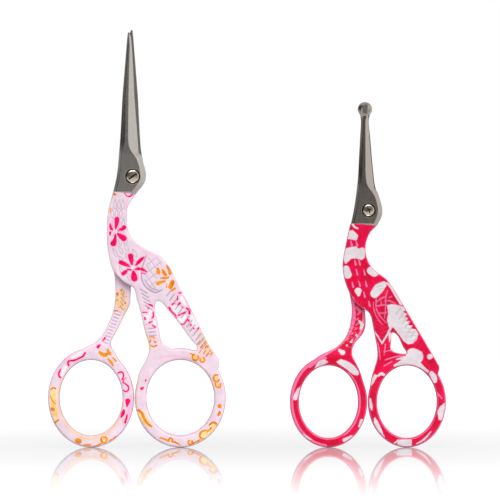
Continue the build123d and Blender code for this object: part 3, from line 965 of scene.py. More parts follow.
# %% Feathers
def feather(root, end, bulge, radius=0.2, belly_share=0.62):
    """A long teardrop's outline, as two strokes that part after its root and meet at its rounded end."""
    along = np.subtract(end, root)
    aside = np.array([-along[1], along[0]]) / np.hypot(*along)
    belly = np.array(root) + belly_share * along
    return [curved(root, tuple(belly + side * bulge * aside), end, (radius, radius), 5) for side in (-1, 1)]


def feathers(line, rows, across, spread, length, bulge):
    """Feathers in staggered rows along a bent line of (column, row, half width)."""
    line = np.array(line, dtype=float)
    runs = np.concatenate([[0], np.cumsum(np.hypot(*np.diff(line[:, :2], axis=0).T))])
    chains = []
    for i in range(rows):
        run = runs[-1] * (i + 0.5) / rows
        x, y, half_width = (np.interp(run, runs, line[:, k]) for k in range(3))
        ahead = np.array([np.interp(run + 1, runs, line[:, k]) for k in (0, 1)])
        before = np.array([np.interp(run - 1, runs, line[:, k]) for k in (0, 1)])
        along = (ahead - before) / np.hypot(*(ahead - before))
        aside = np.array([-along[1], along[0]])
        for j in range(across):
            set_over = 0.5 * (i % 2)  # every other row stands in the gaps of the last
            share = (j + set_over + 0.25) / across * 2 - 1
            centre = np.array([x, y]) + aside * share * half_width * spread
            chains += feather(tuple(centre - along * length / 2), tuple(centre + along * length / 2), bulge)
    return chains


# %% Bars and lattice
def bars(start, stop, count, along, length, radius=0.55):
    """Straight pressed bars side by side, with middles from one place to another."""
    chains = []
    step = np.array(along) * length / 2 / np.hypot(*along)
    for share in np.linspace(0, 1, count):
        middle = np.array(start) * (1 - share) + np.array(stop) * share
        chains.append([(*(middle - step), radius), (*(middle + step), radius)])
    return chains


lattice_step = 0.5  # pixels along a line, and from its ends to the outline
shortest_line = 3  # steps


def lattice(outline, gap, radius):
    """Crossing pressed lines over a closed outline, as chains that end where they leave it."""
    outline = np.array(outline)
    centre = outline.mean(0)
    reach = np.hypot(*(outline - centre).T).max()
    chains = []
    for along in (np.array([0.6, 0.8]), np.array([0.8, -0.6])):
        aside = np.array([-along[1], along[0]])
        for offset in np.arange(-reach, reach, gap):
            spots = centre + aside * offset + along * np.arange(-reach, reach, lattice_step)[:, None]
            held = spots[patch_distance(spots, outline) < -lattice_step]
            if len(held) > shortest_line:
                chains.append([(*held[0], radius), (*held[-1], radius)])
    return chains


field = [(0, 0), (30, 0), (30, 30), (0, 30)]
print("lines over a field of 30 pixels", len(lattice(field, gap=6.4, radius=0.2)))

# %% Relief of the pointed pair
neck_line = [(118, 200, 7), (117, 226, 9), (119, 244, 10), (127, 260, 15), (136, 278, 15)]
pink_wing = [
    (148, 257), (158, 258), (165, 264), (158, 268), (156, 276), (157, 284), (157, 290), (150, 288),
    (145, 283), (143, 272),
]
pink_relief = feathers(neck_line, rows=9, across=3, spread=0.8, length=9.5, bulge=1.5)
pink_relief += [
    [(146.0, 256.0, 0.5), (141.4, 269.7, 0.6), (141.2, 279.0, 0.7), (144.8, 286.8, 0.8), (151.2, 291.4, 0.8),
     (156.3, 293.2, 0.7), (162.0, 290.0, 0.5)],
    [(144.8, 280.0, 0.4), (147.6, 285.4, 0.5), (153.0, 289.4, 0.5), (158.0, 290.4, 0.4)],
]
pink_relief += lattice(pink_wing, gap=6.4, radius=0.2)
pink_relief += bars((143.6, 291.5), (148.6, 308.0), 5, (0.85, 0.5), 8.0)
pink_relief += bars((151.4, 328.6), (152.4, 336.0), 3, (1.0, -0.1), 6.0)
pink_relief += bars((169.0, 293.0), (204.0, 346.0), 13, (0.6, -0.8), 8.0)
pink_relief += bars((123.0, 291.0), (121.0, 308.0), 5, (0.5, 0.85), 5.0, 0.45)
pink_relief += bars((118.4, 312.0), (105.0, 343.0), 11, (1.0, 0.35), 5.5, 0.35)
print("pressed strokes on the pointed pair", len(pink_relief))

# %% [markdown]
# ## The rounded pair's print and relief
# This pair's ground is crimson, and carries pale patches with serrated edges, as if flowers were cut by the
# handle's outline. The teeth could be drawn one by one, but worked out along each side they are even, and a
# patch needs only a few corners.


# %% Teeth
def spiky(outline, tooth=2.0, tooth_depth=0.55):
    """A closed outline with small teeth along its sides."""
    points = []
    outline = np.array(outline, dtype=float)
    turn = np.sign(sum(np.cross(a, b) for a, b in zip(outline, np.roll(outline, -1, 0))))
    for a, b in zip(outline, np.roll(outline, -1, 0)):
        length = np.hypot(*(b - a))
        teeth = max(1, int(round(length / tooth)))
        outward = np.array([b[1] - a[1], a[0] - b[0]]) * turn / max(length, tiny)
        for i in range(teeth):
            points.append(a + (b - a) * i / teeth)
            points.append(a + (b - a) * (i + 0.5) / teeth + outward * tooth_depth)
    return points


print("corners of a toothed square", len(spiky([(0, 0), (8, 0), (8, 8), (0, 8)])))

# %% White on crimson
rounded_left_ring = (328.6, 402.0)
crimson_white = {
    "strokes": [
        [(352.4, 223.9, 0.9), (354.6, 227.2, 0.8), (357.6, 228.4, 0.6)],
        [(346.2, 268.6, 3.0), (347.6, 274.6, 3.9)],
        [(371.0, 270.6, 3.8), (374.6, 272.6, 4.0)],
        [(374.8, 293.6, 4.2), (379.0, 288.0, 5.0), (383.6, 284.2, 2.8)],
        [(387.0, 283.0, 0.7), (391.6, 287.6, 1.2), (396.4, 295.6, 1.6), (401.4, 303.6, 1.6)],
        [(413.0, 355.4, 7.0), (416.4, 356.6, 6.8)],
        [(394.6, 365.6, 1.0), (404.0, 362.0, 3.0), (412.0, 359.6, 5.4)],
        [(396.6, 359.4, 0.5), (404.6, 357.6, 1.4)],
        [(414.0, 361.0, 4.6), (422.0, 367.2, 1.7), (427.6, 371.4, 1.1)],
        [(431.6, 373.4, 2.2), (434.2, 377.4, 3.1), (434.8, 381.2, 2.0)],
        dot(430.0, 356.6, 2.7),
        [(358.2, 291.2, 3.4), (358.6, 294.6, 1.6)],
        [(369.8, 399.4, 1.1), (371.0, 406.0, 1.6), (371.8, 409.6, 0.7)],
        [(374.8, 418.6, 0.9), (376.8, 424.6, 2.5), (380.6, 432.6, 1.9), (384.4, 438.4, 0.7)],
        [(378.0, 375.8, 0.7), (381.4, 373.4, 1.5), (384.2, 374.8, 1.1)],
        # The next two thin streaks along the ring's foot are painted highlights.
        [(416.6, 443.8, 0.5), (424.2, 439.8, 0.8), (431.0, 431.6, 0.3)],
        [(393.6, 444.0, 0.7), (397.6, 440.6, 0.5)],
        [(374.0, 331.0, 0.6), (378.0, 336.6, 0.5), (382.0, 343.4, 0.6)],
        [(382.0, 343.4, 0.6), (386.6, 336.0, 0.7), (391.4, 326.6, 1.1)],
        [(390.2, 334.0, 1.5), (389.6, 341.6, 0.4)],
        [(339.6, 350.4, 1.3), (342.6, 352.6, 2.5)],
        [(361.8, 420.4, 1.3), (359.6, 426.2, 1.1)],
        [(302.4, 434.4, 0.7), (306.0, 437.0, 1.5), (311.2, 439.6, 0.6)],
        [(344.4, 440.2, 1.7), (351.6, 436.2, 0.9)],
        [(359.4, 321.4, 1.0), (362.8, 324.2, 1.9), (361.0, 328.8, 1.2)],
        [(356.4, 335.4, 1.0), (357.6, 337.0, 0.7)],
        [(351.4, 341.8, 1.0), (352.6, 339.6, 0.6)],
        dot(347.0, 345.4, 0.8),
    ],
    "patches": [
        spiky([
            (348.8, 230.7), (353.2, 230.7), (357.9, 235.7), (356.2, 239.8), (352.9, 239.5), (347.4, 238.5),
        ]),
        spiky([
            (344.6, 248.9), (352.9, 247.3), (356.2, 246.4), (358.0, 249.5), (362.9, 247.5), (364.5, 249.8),
            (364.5, 257.2), (362.0, 259.7), (356.2, 258.0), (351.3, 258.0), (345.5, 263.8), (343.0, 256.4),
        ]),
        [(387.1, 305.4), (391.6, 304.4), (396.2, 304.8), (402.7, 306.6), (405.7, 310.4), (402.5, 311.4),
         (407.0, 314.4), (404.4, 316.4), (408.2, 318.0), (405.6, 321.2), (409.8, 321.2), (408.0, 325.6),
         (412.4, 325.6), (411.2, 328.6), (415.4, 329.2), (418.2, 334.0), (417.0, 339.2), (412.8, 343.4),
         (408.2, 344.2), (403.6, 341.0), (399.8, 335.4), (394.8, 329.0), (392.2, 326.4), (389.8, 330.0),
         (387.2, 320.0), (388.4, 313.6)],
        [(444.8, 402.8), (440.2, 406.6), (437.4, 411.8), (438.8, 419.6), (441.6, 420.4), (446.0, 412.0)],
        spiky([(397.3, 439.9), (411.4, 439.9), (411.0, 448.2), (398.0, 448.2)]),
        [(369.8, 387.6), (371.6, 378.8), (374.8, 374.2), (377.8, 375.4), (373.8, 382.4)],
        spiky([(327.8, 362.0), (323.4, 359.5), (318.3, 362.0), (315.0, 368.4), (320.8, 365.9)]),
        [(300.8, 386.4), (297.4, 389.0), (293.2, 396.0), (293.2, 399.8), (296.6, 400.0), (299.2, 393.0)],
        spiky([
            (336.4, 362.0), (341.0, 359.6), (346.0, 361.0), (351.0, 363.6), (355.4, 367.6), (358.8, 372.8),
            (357.4, 375.2), (353.0, 374.0), (347.0, 369.0), (341.0, 365.0),
        ]),
    ],
}
print("white strokes", len(crimson_white["strokes"]), "patches", len(crimson_white["patches"]))

# %% Pink on crimson
crimson_dashes = [
    (355.4, 262.2), (359.6, 262.2), (357.0, 272.1), (364.5, 272.1), (352.9, 284.6),
    (359.6, 283.7), (366.2, 283.7), (364.5, 294.5), (369.5, 303.6), (351.6, 243.6), (356.8, 243.0),
]
leg_dashes = [(358.0, 314.4), (357.0, 319.4), (356.8, 324.6), (355.2, 329.4), (351.6, 334.4), (347.4, 339.4)]
crimson_wing = [
    [(376.4, 299.0, 0.6), (375.4, 307.0, 0.6), (379.6, 316.0, 0.6), (386.4, 322.8, 0.5)],
    [(373.6, 302.6, 0.4), (373.6, 310.0, 0.5), (377.6, 319.0, 0.5), (382.6, 324.4, 0.4)],
    [(387.8, 290.0, 0.5), (385.4, 298.0, 0.7), (385.8, 307.0, 0.6), (384.6, 318.0, 0.5)],
    [(377.0, 301.6, 0.5), (381.6, 297.8, 0.8), (386.4, 296.6, 0.5)],
    [(376.4, 306.2, 0.5), (381.0, 305.0, 0.8), (387.6, 304.6, 0.6)],
    [(378.0, 312.8, 0.5), (382.0, 313.2, 0.8), (387.0, 312.6, 0.5)],
    [(386.4, 300.4, 0.5), (390.6, 301.0, 0.8), (395.6, 303.6, 0.5)],
    [(389.0, 297.6, 0.4), (391.6, 296.4, 0.6)],
    [(381.0, 299.6, 0.4), (381.4, 304.4, 0.5)],
]
crimson_pink = {
    "strokes": [
        *dashes(crimson_dashes, (-0.7, -2.6, 0.5), (0.5, 2.2, 1.1)),
        *crimson_wing,
        *dashes(leg_dashes, (-1.0, 1.0, 0.35), (1.1, -0.7, 0.8)),
        [(374.6, 337.0, 0.5), (379.2, 347.0, 0.6), (380.2, 360.0, 0.3)],
        [(385.4, 344.6, 0.7), (384.0, 356.0, 0.3)],
        [(384.0, 352.0, 0.5), (391.0, 350.0, 0.6), (404.0, 353.4, 0.4)],
        [(385.0, 360.0, 0.5), (396.0, 356.4, 0.7), (404.0, 356.0, 0.5)],
        [(384.0, 366.0, 0.5), (392.0, 361.6, 0.7)],
        [(436.0, 392.0, 0.9), (441.6, 398.0, 0.9)],
        ring_arc(rounded_left_ring, (37.0, 43.8), 95, 265, 1.5),
        ring_arc(rounded_left_ring, (31.4, 38.2), -50, 60, 0.7),
        [(351.4, 299.0, 3.0), (353.2, 314.0, 3.2), (351.2, 326.0, 3.2), (345.0, 338.0, 2.7),
         (336.0, 346.6, 2.2), (322.0, 355.6, 2.2), (310.0, 366.0, 1.8)],
        [(357.2, 307.4, 1.3), (360.4, 311.6, 1.7)],
        [(363.8, 309.0, 1.6), (364.6, 318.0, 1.5), (361.6, 332.0, 1.2), (353.0, 345.0, 1.0),
         (352.0, 352.0, 0.8)],
    ],
    "patches": [],
}
print("pink strokes", len(crimson_pink["strokes"]))

# %% Relief of the rounded pair
crimson_relief = dashes(crimson_dashes, (-0.9, -3.4, 0.4), (1.9, 3.0, 0.5))
crimson_relief += bars((404.0, 318.0), (414.0, 336.0), 6, (1.0, -0.2), 5.0, 0.3)
crimson_relief += bars((378.0, 284.0), (382.0, 292.0), 4, (1.0, -0.2), 5.0, 0.3)
crimson_relief += crimson_wing
crimson_relief += bars((374.0, 318.0), (379.0, 334.0), 5, (0.85, 0.5), 6.5)
crimson_relief += bars((383.0, 318.0), (386.0, 334.0), 5, (0.85, -0.5), 5.0)
crimson_relief += bars((398.0, 312.0), (430.0, 362.0), 12, (0.6, -0.8), 7.0)
crimson_relief += bars((359.0, 307.0), (350.0, 346.0), 9, (1.0, 0.25), 6.0, 0.45)
print("pressed strokes on the rounded pair", len(crimson_relief))

# %% [markdown]
# ## Making the handles
# The print and the relief are looked up at each vertex, on both faces alike, and kept as float attributes.
# A second mesh or a flat projection would slip on the rounded edges, but an attribute stays on its vertex.

# %% Handles
press_depth = 0.085  # of the feathers and bars
press_width, press_ease = 0.9, 1.2  # pixels, from a line's edge to its groove's, and in to its full depth
face_turn, face_ease = 0.55, 0.35  # how squarely a vertex faces out before it counts as the outer face
face_depth = 0.35  # from the outer face in
least_face = 0.2  # of the outer face's share, above which a groove gets painted shade
leg_top = up(286.0)  # below this the halves lie side by side, and both faces carry the relief
print_of = {
    "pointed": {
        "magenta": pink_magenta, "white": pink_white, "orange": pink_orange, "yellow": pink_yellow,
        "peach": pink_peach, "blush": pink_blush,
    },
    "rounded": {"white": crimson_white, "pink": crimson_pink},
}
relief_of = {"pointed": pink_relief, "rounded": crimson_relief}


def handle(half):
    """A coated handle with its relief pressed in and its print on its vertices."""
    obj = handle_blank(half)
    points, normals = vertex_array(obj.data), normal_array(obj.data)
    seen = half.seen(points)
    columns, rows = points[:, 0] / mm_per_pixel + middle_column, base_row - points[:, 2] / mm_per_pixel
    places = np.column_stack([columns, rows])
    facing = np.abs(normals[:, 1])
    shown = (seen[:, 1] > half.pair.outer - face_depth) | (points[:, 2] < leg_top)
    outer_face = smooth_step((facing - face_turn) / face_ease) * shown
    groove = union(places, relief_of[half.pair.name])
    pressed = smooth_step((press_width - groove) / press_ease) * outer_face
    seen[:, 1] = press_bevels(half, seen)
    points = half.placed(seen) - normals * (press_depth * pressed)[:, None]
    obj.data.vertices.foreach_set("co", points.ravel())
    obj.data.update()
    for name, drawing in print_of[half.pair.name].items():
        keep(obj.data, name, union(places, drawing["strokes"], drawing["patches"]))
    # The groove distance also places the painted shade in the grooves, and rim, how far a vertex turns from
    # the front, the painted light and shade on the edges.
    keep(obj.data, "groove", np.where(outer_face > least_face, groove, far_away))
    keep(obj.data, "rim", 1 - facing)
    print(obj.name, "triangles", 2 * len(obj.data.polygons))
    return obj


# %% [markdown]
# ## Materials
# Both coats are enamel with a print under a clear gloss, and all the steel is brushed. Each material could
# have all of its nodes to itself, but what they share is made once: one group turns a signed distance into a
# motif's mask, one tones an enamel and one brushes a metal. The material sets its own colours on them and
# keeps its shader to itself.

# %% Node helpers
class Tree:
    """Short ways to add nodes to a material or a group and to link them."""

    def __init__(self, node_tree):
        self.tree = node_tree

    def node(self, kind, inputs=(), **settings):
        """A new node with its settings, and with values or links on the inputs that are named."""
        added = self.tree.nodes.new(kind)
        for name, value in settings.items():
            setattr(added, name, value)
        for name, value in dict(inputs).items():
            self.put(value, added.inputs[name])
        return added

    def put(self, value, socket):
        """Links another node's output to a socket, or sets the socket's own value."""
        if isinstance(value, bpy.types.NodeSocket):
            self.tree.links.new(value, socket)
        else:
            socket.default_value = value

    def math(self, operation, *values):
        """The result of one sum, product or the like."""
        return self.node("ShaderNodeMath", dict(enumerate(values)), operation=operation).outputs[0]

    def mix(self, share, first, second, blend="MIX"):
        """Colour that goes from the first to the second as share goes from 0 to 1."""
        added = self.node("ShaderNodeMix", data_type="RGBA", blend_type=blend)
        for index, value in ((0, share), (6, first), (7, second)):
            self.put(value, added.inputs[index])
        return added.outputs[2]

    def span(self, value, low, high, to_low=0.0, to_high=1.0):
        """A soft ramp of value from low to high."""
        ends = {"Value": value, "From Min": low, "From Max": high, "To Min": to_low, "To Max": to_high}
        return self.node("ShaderNodeMapRange", ends, interpolation_type="SMOOTHSTEP").outputs[0]

    def noise(self, scale, detail=2.0, stretch=None, seed=0.0):
        """Noise over the piece's own coordinates, with features about 1/scale metres across."""
        spot = self.node("ShaderNodeTexCoord").outputs["Object"]
        if stretch:
            spot = self.node("ShaderNodeMapping", {"Vector": spot, "Scale": stretch}).outputs[0]
        inputs = {"Vector": spot, "W": seed, "Scale": scale, "Detail": detail}
        return self.node("ShaderNodeTexNoise", inputs, noise_dimensions="4D").outputs[0]


def group(name, inputs, outputs):
    """An empty node group with float or colour sockets, and its helper, input node and output node."""
    made = bpy.data.node_groups.new(name, "ShaderNodeTree")
    kinds = {"float": "NodeSocketFloat", "color": "NodeSocketColor"}
    for key, kind in inputs.items():
        made.interface.new_socket(key, in_out="INPUT", socket_type=kinds[kind])
    for key, kind in outputs.items():
        made.interface.new_socket(key, in_out="OUTPUT", socket_type=kinds[kind])
    tree = Tree(made)
    return made, tree, tree.node("NodeGroupInput"), tree.node("NodeGroupOutput")


def linear(red, green, blue):
    """A colour as the picture shows it, 0 to 255, as the linear values that a shader takes."""
    shares = [v / 255 for v in (red, green, blue)]
    return (*[s / 12.92 if s <= 0.04045 else ((s + 0.055) / 1.055) ** 2.4 for s in shares], 1.0)


# %% Motif group
motif_group, t, given, result = group(
    "printed motif", {"Distance": "float", "Halo": "float"}, {"Motif": "float", "Halo": "float"},
)
wobble = t.math("MULTIPLY", t.math("SUBTRACT", t.noise(1400.0, 2.0), 0.5), 0.9)
edge = t.math("ADD", given.outputs["Distance"], wobble)
t.put(t.span(edge, 0.28, -0.22), result.inputs["Motif"])
t.put(t.span(t.math("SUBTRACT", edge, given.outputs["Halo"]), 0.3, -0.5), result.inputs["Halo"])
print("group", motif_group.name, "nodes", len(t.tree.nodes))

# %% Enamel group
coat_group, t, given, result = group(
    "enamel tone",
    {"Color": "color", "Edge color": "color", "Outline color": "color", "Groove color": "color",
     "Edge reach": "float", "Groove share": "float"},
    {"Color": "color", "Height": "float", "Roughness": "float"},
)
rim = t.node("ShaderNodeAttribute", attribute_name="rim").outputs["Fac"]
groove = t.node("ShaderNodeAttribute", attribute_name="groove").outputs["Fac"]
# Painted light and shade on the edges: a surface that turns away from the front takes the edge colour, in
# patches, and one that turns far away the darker outline colour.
patchy = t.span(t.noise(420.0, 3.0, seed=3.0), 0.2, 0.75, 0.45, 0.95)
painted_edge_tone = t.math("MULTIPLY", t.span(rim, 0.02, given.outputs["Edge reach"]), patchy)
toned = t.mix(painted_edge_tone, given.outputs["Color"], given.outputs["Edge color"])
toned = t.mix(t.math("MULTIPLY", t.span(rim, 0.25, 0.8), 0.75), toned, given.outputs["Outline color"])
# Painted shade in the pressed grooves, darkened with the groove colour.
line = t.math("MULTIPLY", t.span(groove, 0.55, -0.35), given.outputs["Groove share"])
toned = t.mix(line, toned, given.outputs["Groove color"], "MULTIPLY")
cloud = t.span(t.noise(260.0, 2.0, seed=7.0), 0.3, 0.75, 0.0, 0.25)
t.put(t.mix(cloud, toned, given.outputs["Groove color"], "MULTIPLY"), result.inputs["Color"])
dip = t.span(groove, 0.2, 1.2)
t.put(t.math("ADD", dip, t.math("MULTIPLY", t.noise(900.0, 3.0, seed=5.0), 0.35)), result.inputs["Height"])
t.put(t.span(t.noise(1500.0, 2.0, seed=11.0), 0.3, 0.7, 0.24, 0.36), result.inputs["Roughness"])
print("group", coat_group.name, "nodes", len(t.tree.nodes))

# %% [markdown]
# ## Coats
# The real coat is a coloured enamel with inks over it and a clear gloss on top. An image texture could carry
# it all, but here it is built up in the order in which it is printed: the ground, any soft washes, and then
# the motifs, the strongest of them with a faint halo where ink has bled. A slight orange peel in the gloss
# keeps it from looking like plastic.


# %% Coat helpers
def material(name):
    """A new material, the helper for its nodes and its shader."""
    made = bpy.data.materials.new(name)
    made.use_nodes = True
    tree = Tree(made.node_tree)
    return made, tree, made.node_tree.nodes["Principled BSDF"]


def motif(t, attribute, halo=0.0):
    """Masks of a printed motif and of the halo round it, from the distance kept on the vertices."""
    spot = t.node("ShaderNodeAttribute", attribute_name=attribute).outputs["Fac"]
    drawn = t.node("ShaderNodeGroup", node_tree=motif_group)
    t.put(spot, drawn.inputs["Distance"])
    t.put(halo, drawn.inputs["Halo"])
    return drawn.outputs["Motif"], drawn.outputs["Halo"]


peel_depth, peel_strength = 0.00006, 0.35  # the depth in metres


def enamel(colour, edge_colour, outline_colour, groove_colour, edge_reach, groove_share, t, shader):
    """Finishes a coat: painted light and shade on edges, painted shade in grooves, a faint orange peel and a
    clear gloss.
    """
    tone = t.node("ShaderNodeGroup", node_tree=coat_group)
    for key, value in (
        ("Color", colour), ("Edge color", edge_colour), ("Outline color", outline_colour),
        ("Groove color", groove_colour), ("Edge reach", edge_reach), ("Groove share", groove_share),
    ):
        t.put(value, tone.inputs[key])
    peel = {"Height": tone.outputs["Height"], "Strength": peel_strength, "Distance": peel_depth}
    bump = t.node("ShaderNodeBump", peel)
    t.put(tone.outputs["Color"], shader.inputs["Base Color"])
    t.put(tone.outputs["Roughness"], shader.inputs["Roughness"])
    t.put(bump.outputs[0], shader.inputs["Normal"])
    t.put(0.14, shader.inputs["Specular IOR Level"])
    t.put(0.07, shader.inputs["Coat Weight"])
    t.put(0.12, shader.inputs["Coat Roughness"])


# %% Pink coat
pink_print, t, shader = material("pink_print")
colour = t.mix(t.span(t.noise(330.0, 2.0), 0.35, 0.7), linear(223, 203, 215), linear(232, 208, 220))
for name, wash, share in (("blush", linear(242, 160, 196), 0.65), ("peach", linear(240, 192, 124), 0.8)):
    spot = t.node("ShaderNodeAttribute", attribute_name=name).outputs["Fac"]
    colour = t.mix(t.span(spot, 1.4, -1.6, 0.0, share), colour, wash)
shape, _ = motif(t, "white")
colour = t.mix(shape, colour, linear(230, 230, 233))
shape, _ = motif(t, "yellow")
yellow = t.mix(t.span(t.noise(500.0), 0.3, 0.7), linear(238, 216, 140), linear(247, 190, 92))
colour = t.mix(shape, colour, yellow)
orange_shape, halo = motif(t, "orange", 0.9)
colour = t.mix(t.math("MULTIPLY", halo, 0.45), colour, linear(245, 214, 190))
ochre = t.mix(t.span(t.noise(700.0), 0.3, 0.7), linear(216, 112, 12), linear(242, 152, 30))
colour = t.mix(orange_shape, colour, ochre)
shape, halo = motif(t, "magenta", 1.1)
colour = t.mix(t.math("MULTIPLY", halo, 0.85), colour, linear(250, 190, 216))
deep = t.mix(t.span(t.noise(800.0, 2.0), 0.35, 0.65), linear(222, 0, 84), linear(246, 6, 102))
colour = t.mix(shape, colour, deep)
# The grooves' painted shade is strong on the bare ground and faint on the motifs.
unprinted = t.span(t.math("MAXIMUM", shape, orange_shape), 0.0, 1.0, 0.85, 0.08)
enamel(colour, linear(236, 190, 210), linear(160, 112, 138), linear(190, 182, 202), 0.4, unprinted, t, shader)
print(pink_print.name, "nodes", len(t.tree.nodes))

# %% Crimson coat
red_print, t, shader = material("red_print")
colour = t.mix(t.span(t.noise(300.0, 3.0), 0.35, 0.7), linear(202, 2, 50), linear(226, 12, 74))
shape, _ = motif(t, "pink")
colour = t.mix(t.math("MULTIPLY", shape, 0.85), colour, linear(244, 122, 166))
shape, halo = motif(t, "white", 0.8)
colour = t.mix(t.math("MULTIPLY", halo, 0.5), colour, linear(232, 90, 130))
colour = t.mix(shape, colour, t.mix(t.noise(420.0), linear(206, 200, 203), linear(226, 218, 222)))
enamel(colour, linear(236, 96, 146), linear(160, 16, 64), linear(184, 160, 176), 0.14, 0.35, t, shader)
print(red_print.name, "nodes", len(t.tree.nodes))

# %% [markdown]
# ## Metals
# The blades are ground and then brushed along their length. Real scratches would be far too many to model,
# so stretched noise varies the colour and the roughness a little. A painted shade that was kept on the
# vertices darkens the recess and the slots, where shade falls.

# %% Brushing group
brushed_group, t, given, result = group(
    "brushing", {"Dark": "color", "Light": "color", "Rough": "float"},
    {"Color": "color", "Roughness": "float", "Height": "float"},
)
streak = t.noise(900.0, 4.0, (6.0, 6.0, 0.5))
grain = t.noise(2600.0, 2.0, (5.0, 5.0, 0.9), 4.0)
mixed = t.math("ADD", t.math("MULTIPLY", streak, 0.6), t.math("MULTIPLY", grain, 0.4))
t.put(t.mix(t.span(mixed, 0.35, 0.65), given.outputs["Dark"], given.outputs["Light"]), result.inputs["Color"])
spread = t.math("MULTIPLY", t.math("SUBTRACT", mixed, 0.5), 0.1)
t.put(t.math("ADD", given.outputs["Rough"], spread), result.inputs["Roughness"])
t.put(mixed, result.inputs["Height"])
print("group", brushed_group.name, "nodes", len(t.tree.nodes))

# %% Steels
brushed_depth, brushed_strength = 0.00002, 0.02  # the depth in metres


def steel_material(name, dark, light, rough):
    """Brushed steel between two tones, with painted shade where the vertices say so."""
    made, t, shader = material(name)
    brushing = t.node("ShaderNodeGroup", node_tree=brushed_group)
    for key, value in (("Dark", dark), ("Light", light), ("Rough", rough)):
        t.put(value, brushing.inputs[key])
    height = brushing.outputs["Height"]
    scratches = {"Height": height, "Strength": brushed_strength, "Distance": brushed_depth}
    bump = t.node("ShaderNodeBump", scratches)
    # Painted shade: where the vertices say so, the steel is painted dark and dull instead of metallic.
    dirt = t.node("ShaderNodeAttribute", attribute_name="dirt").outputs["Fac"]
    t.put(t.math("SUBTRACT", 1.0, dirt), shader.inputs["Metallic"])
    t.put(t.mix(dirt, brushing.outputs["Color"], linear(30, 24, 20)), shader.inputs["Base Color"])
    t.put(t.span(dirt, 0.0, 0.6, 0.5, 0.1), shader.inputs["Specular IOR Level"])
    t.put(brushing.outputs["Roughness"], shader.inputs["Roughness"])
    t.put(bump.outputs[0], shader.inputs["Normal"])
    return made


blade_steel = steel_material("blade_steel", linear(158, 153, 148), linear(168, 163, 158), rough=0.25)
darker_steel = steel_material("darker_blade_steel", linear(146, 139, 132), linear(158, 151, 144), rough=0.18)
screw_steel = steel_material("screw_steel", linear(172, 161, 143), linear(192, 182, 164), rough=0.22)
print("steels", blade_steel.name, darker_steel.name, screw_steel.name)

# %% [markdown]
# ## The pieces
# Each half is a steel piece and a coated piece on the same body, as the coating ends in a crisp line across
# the neck. One mesh with two materials would have a ragged line, as the remesh leaves no edge along it.
# Together the two take the place of the half's solid, and a turned screw that of its own.

# %% Finishing
crease = math.radians(30)  # edges that turn more than this stay crisp


def finished(obj, finish, body, replaced=None):
    """Turns a piece into metres, gives it its material, and sets it on the body that it rides on."""
    slot, made = finish
    obj.data.transform(Matrix.Scale(MM, 4))
    obj.data.materials.clear()
    obj.data.materials.append(made)
    obj.data.polygons.foreach_set("use_smooth", [True] * len(obj.data.polygons))
    obj.data.set_sharp_from_angle(angle=crease)
    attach(obj, body)
    if replaced:
        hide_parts(replaced)
    return obj


# %% Pieces
coats = {"pointed": ("pink_print", pink_print), "rounded": ("red_print", red_print)}
steels = {"pointed": blade_steel, "rounded": darker_steel}
pieces = []
for half in halves:
    bare = ("blade_steel", steels[half.pair.name])
    pieces.append(finished(steel(half), bare, half.name, half.node))
    pieces.append(finished(handle(half), coats[half.pair.name], half.name))
    if half.front:
        polished = ("screw_steel", screw_steel)
        screw_name = half.pair.name + "_pivot_screw"
        pieces.append(finished(screw(half), polished, half.pair.name + "_back", screw_name))
print("pieces", [piece.name for piece in pieces])

# %% [markdown]
# ## Floor, light and camera
# The reference stands on a white glossy floor whose reflection fades within a hand's width, in front of
# plain white. One glossy material would mirror the scissors all the way down, so the floor goes over from
# gloss to matt white away from the middle.

# %% Floor
floor_radius = 0.9
gloss_reach = 0.36  # from the middle to where the floor's reflection has faded
floor_gloss, floor_shine = 0.03, 0.8  # roughness of the reflection, and its share in the middle
floor_grey, floor_glow = 0.3, 0.85  # what the lamps light, and what the camera sees on top of it
floor_mesh = bpy.data.meshes.new("floor")
work = bmesh.new()
bmesh.ops.create_circle(work, cap_ends=True, segments=96, radius=floor_radius)
work.to_mesh(floor_mesh)
work.free()
floor = bpy.data.objects.new("floor", floor_mesh)
scene.collection.objects.link(floor)
floor_white, t, shader = material("floor_white")
spot = t.node("ShaderNodeTexCoord").outputs["Object"]
away = t.node("ShaderNodeVectorMath", {0: spot}, operation="LENGTH").outputs["Value"]
shine = t.span(away, gloss_reach, 0.0, 0.0, floor_shine)
gloss = t.node("ShaderNodeBsdfGlossy", {"Roughness": floor_gloss})
path = t.node("ShaderNodeLightPath").outputs
mirrored = t.math("MAXIMUM", path["Is Camera Ray"], path["Is Glossy Ray"])
glow = t.math("MULTIPLY", mirrored, floor_glow)
lift = t.node("ShaderNodeEmission", {"Color": (1, 1, 1, 1), "Strength": glow})
matt = t.node("ShaderNodeBsdfDiffuse", {"Color": (floor_grey, floor_grey, floor_grey, 1)})
lifted = t.node("ShaderNodeAddShader", {0: matt.outputs[0], 1: lift.outputs[0]})
both = t.node("ShaderNodeMixShader", {0: shine, 1: lifted.outputs[0], 2: gloss.outputs[0]})
output = next(n for n in t.tree.nodes if n.type == "OUTPUT_MATERIAL")
t.put(both.outputs[0], output.inputs["Surface"])
t.tree.nodes.remove(shader)
floor.data.materials.append(floor_white)
floor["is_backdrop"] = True
print("floor radius in metres", floor_radius)

# %% [markdown]
# Steel shows what stands round it, so the world matters more than the lamps. Broad light comes from the
# right and from above, and the left is dim, so that the left facets of the blades stay dark and the right
# ones shine. A picture of a studio could do it, but a few ramps over the direction are enough. To the camera
# the world is plain white.

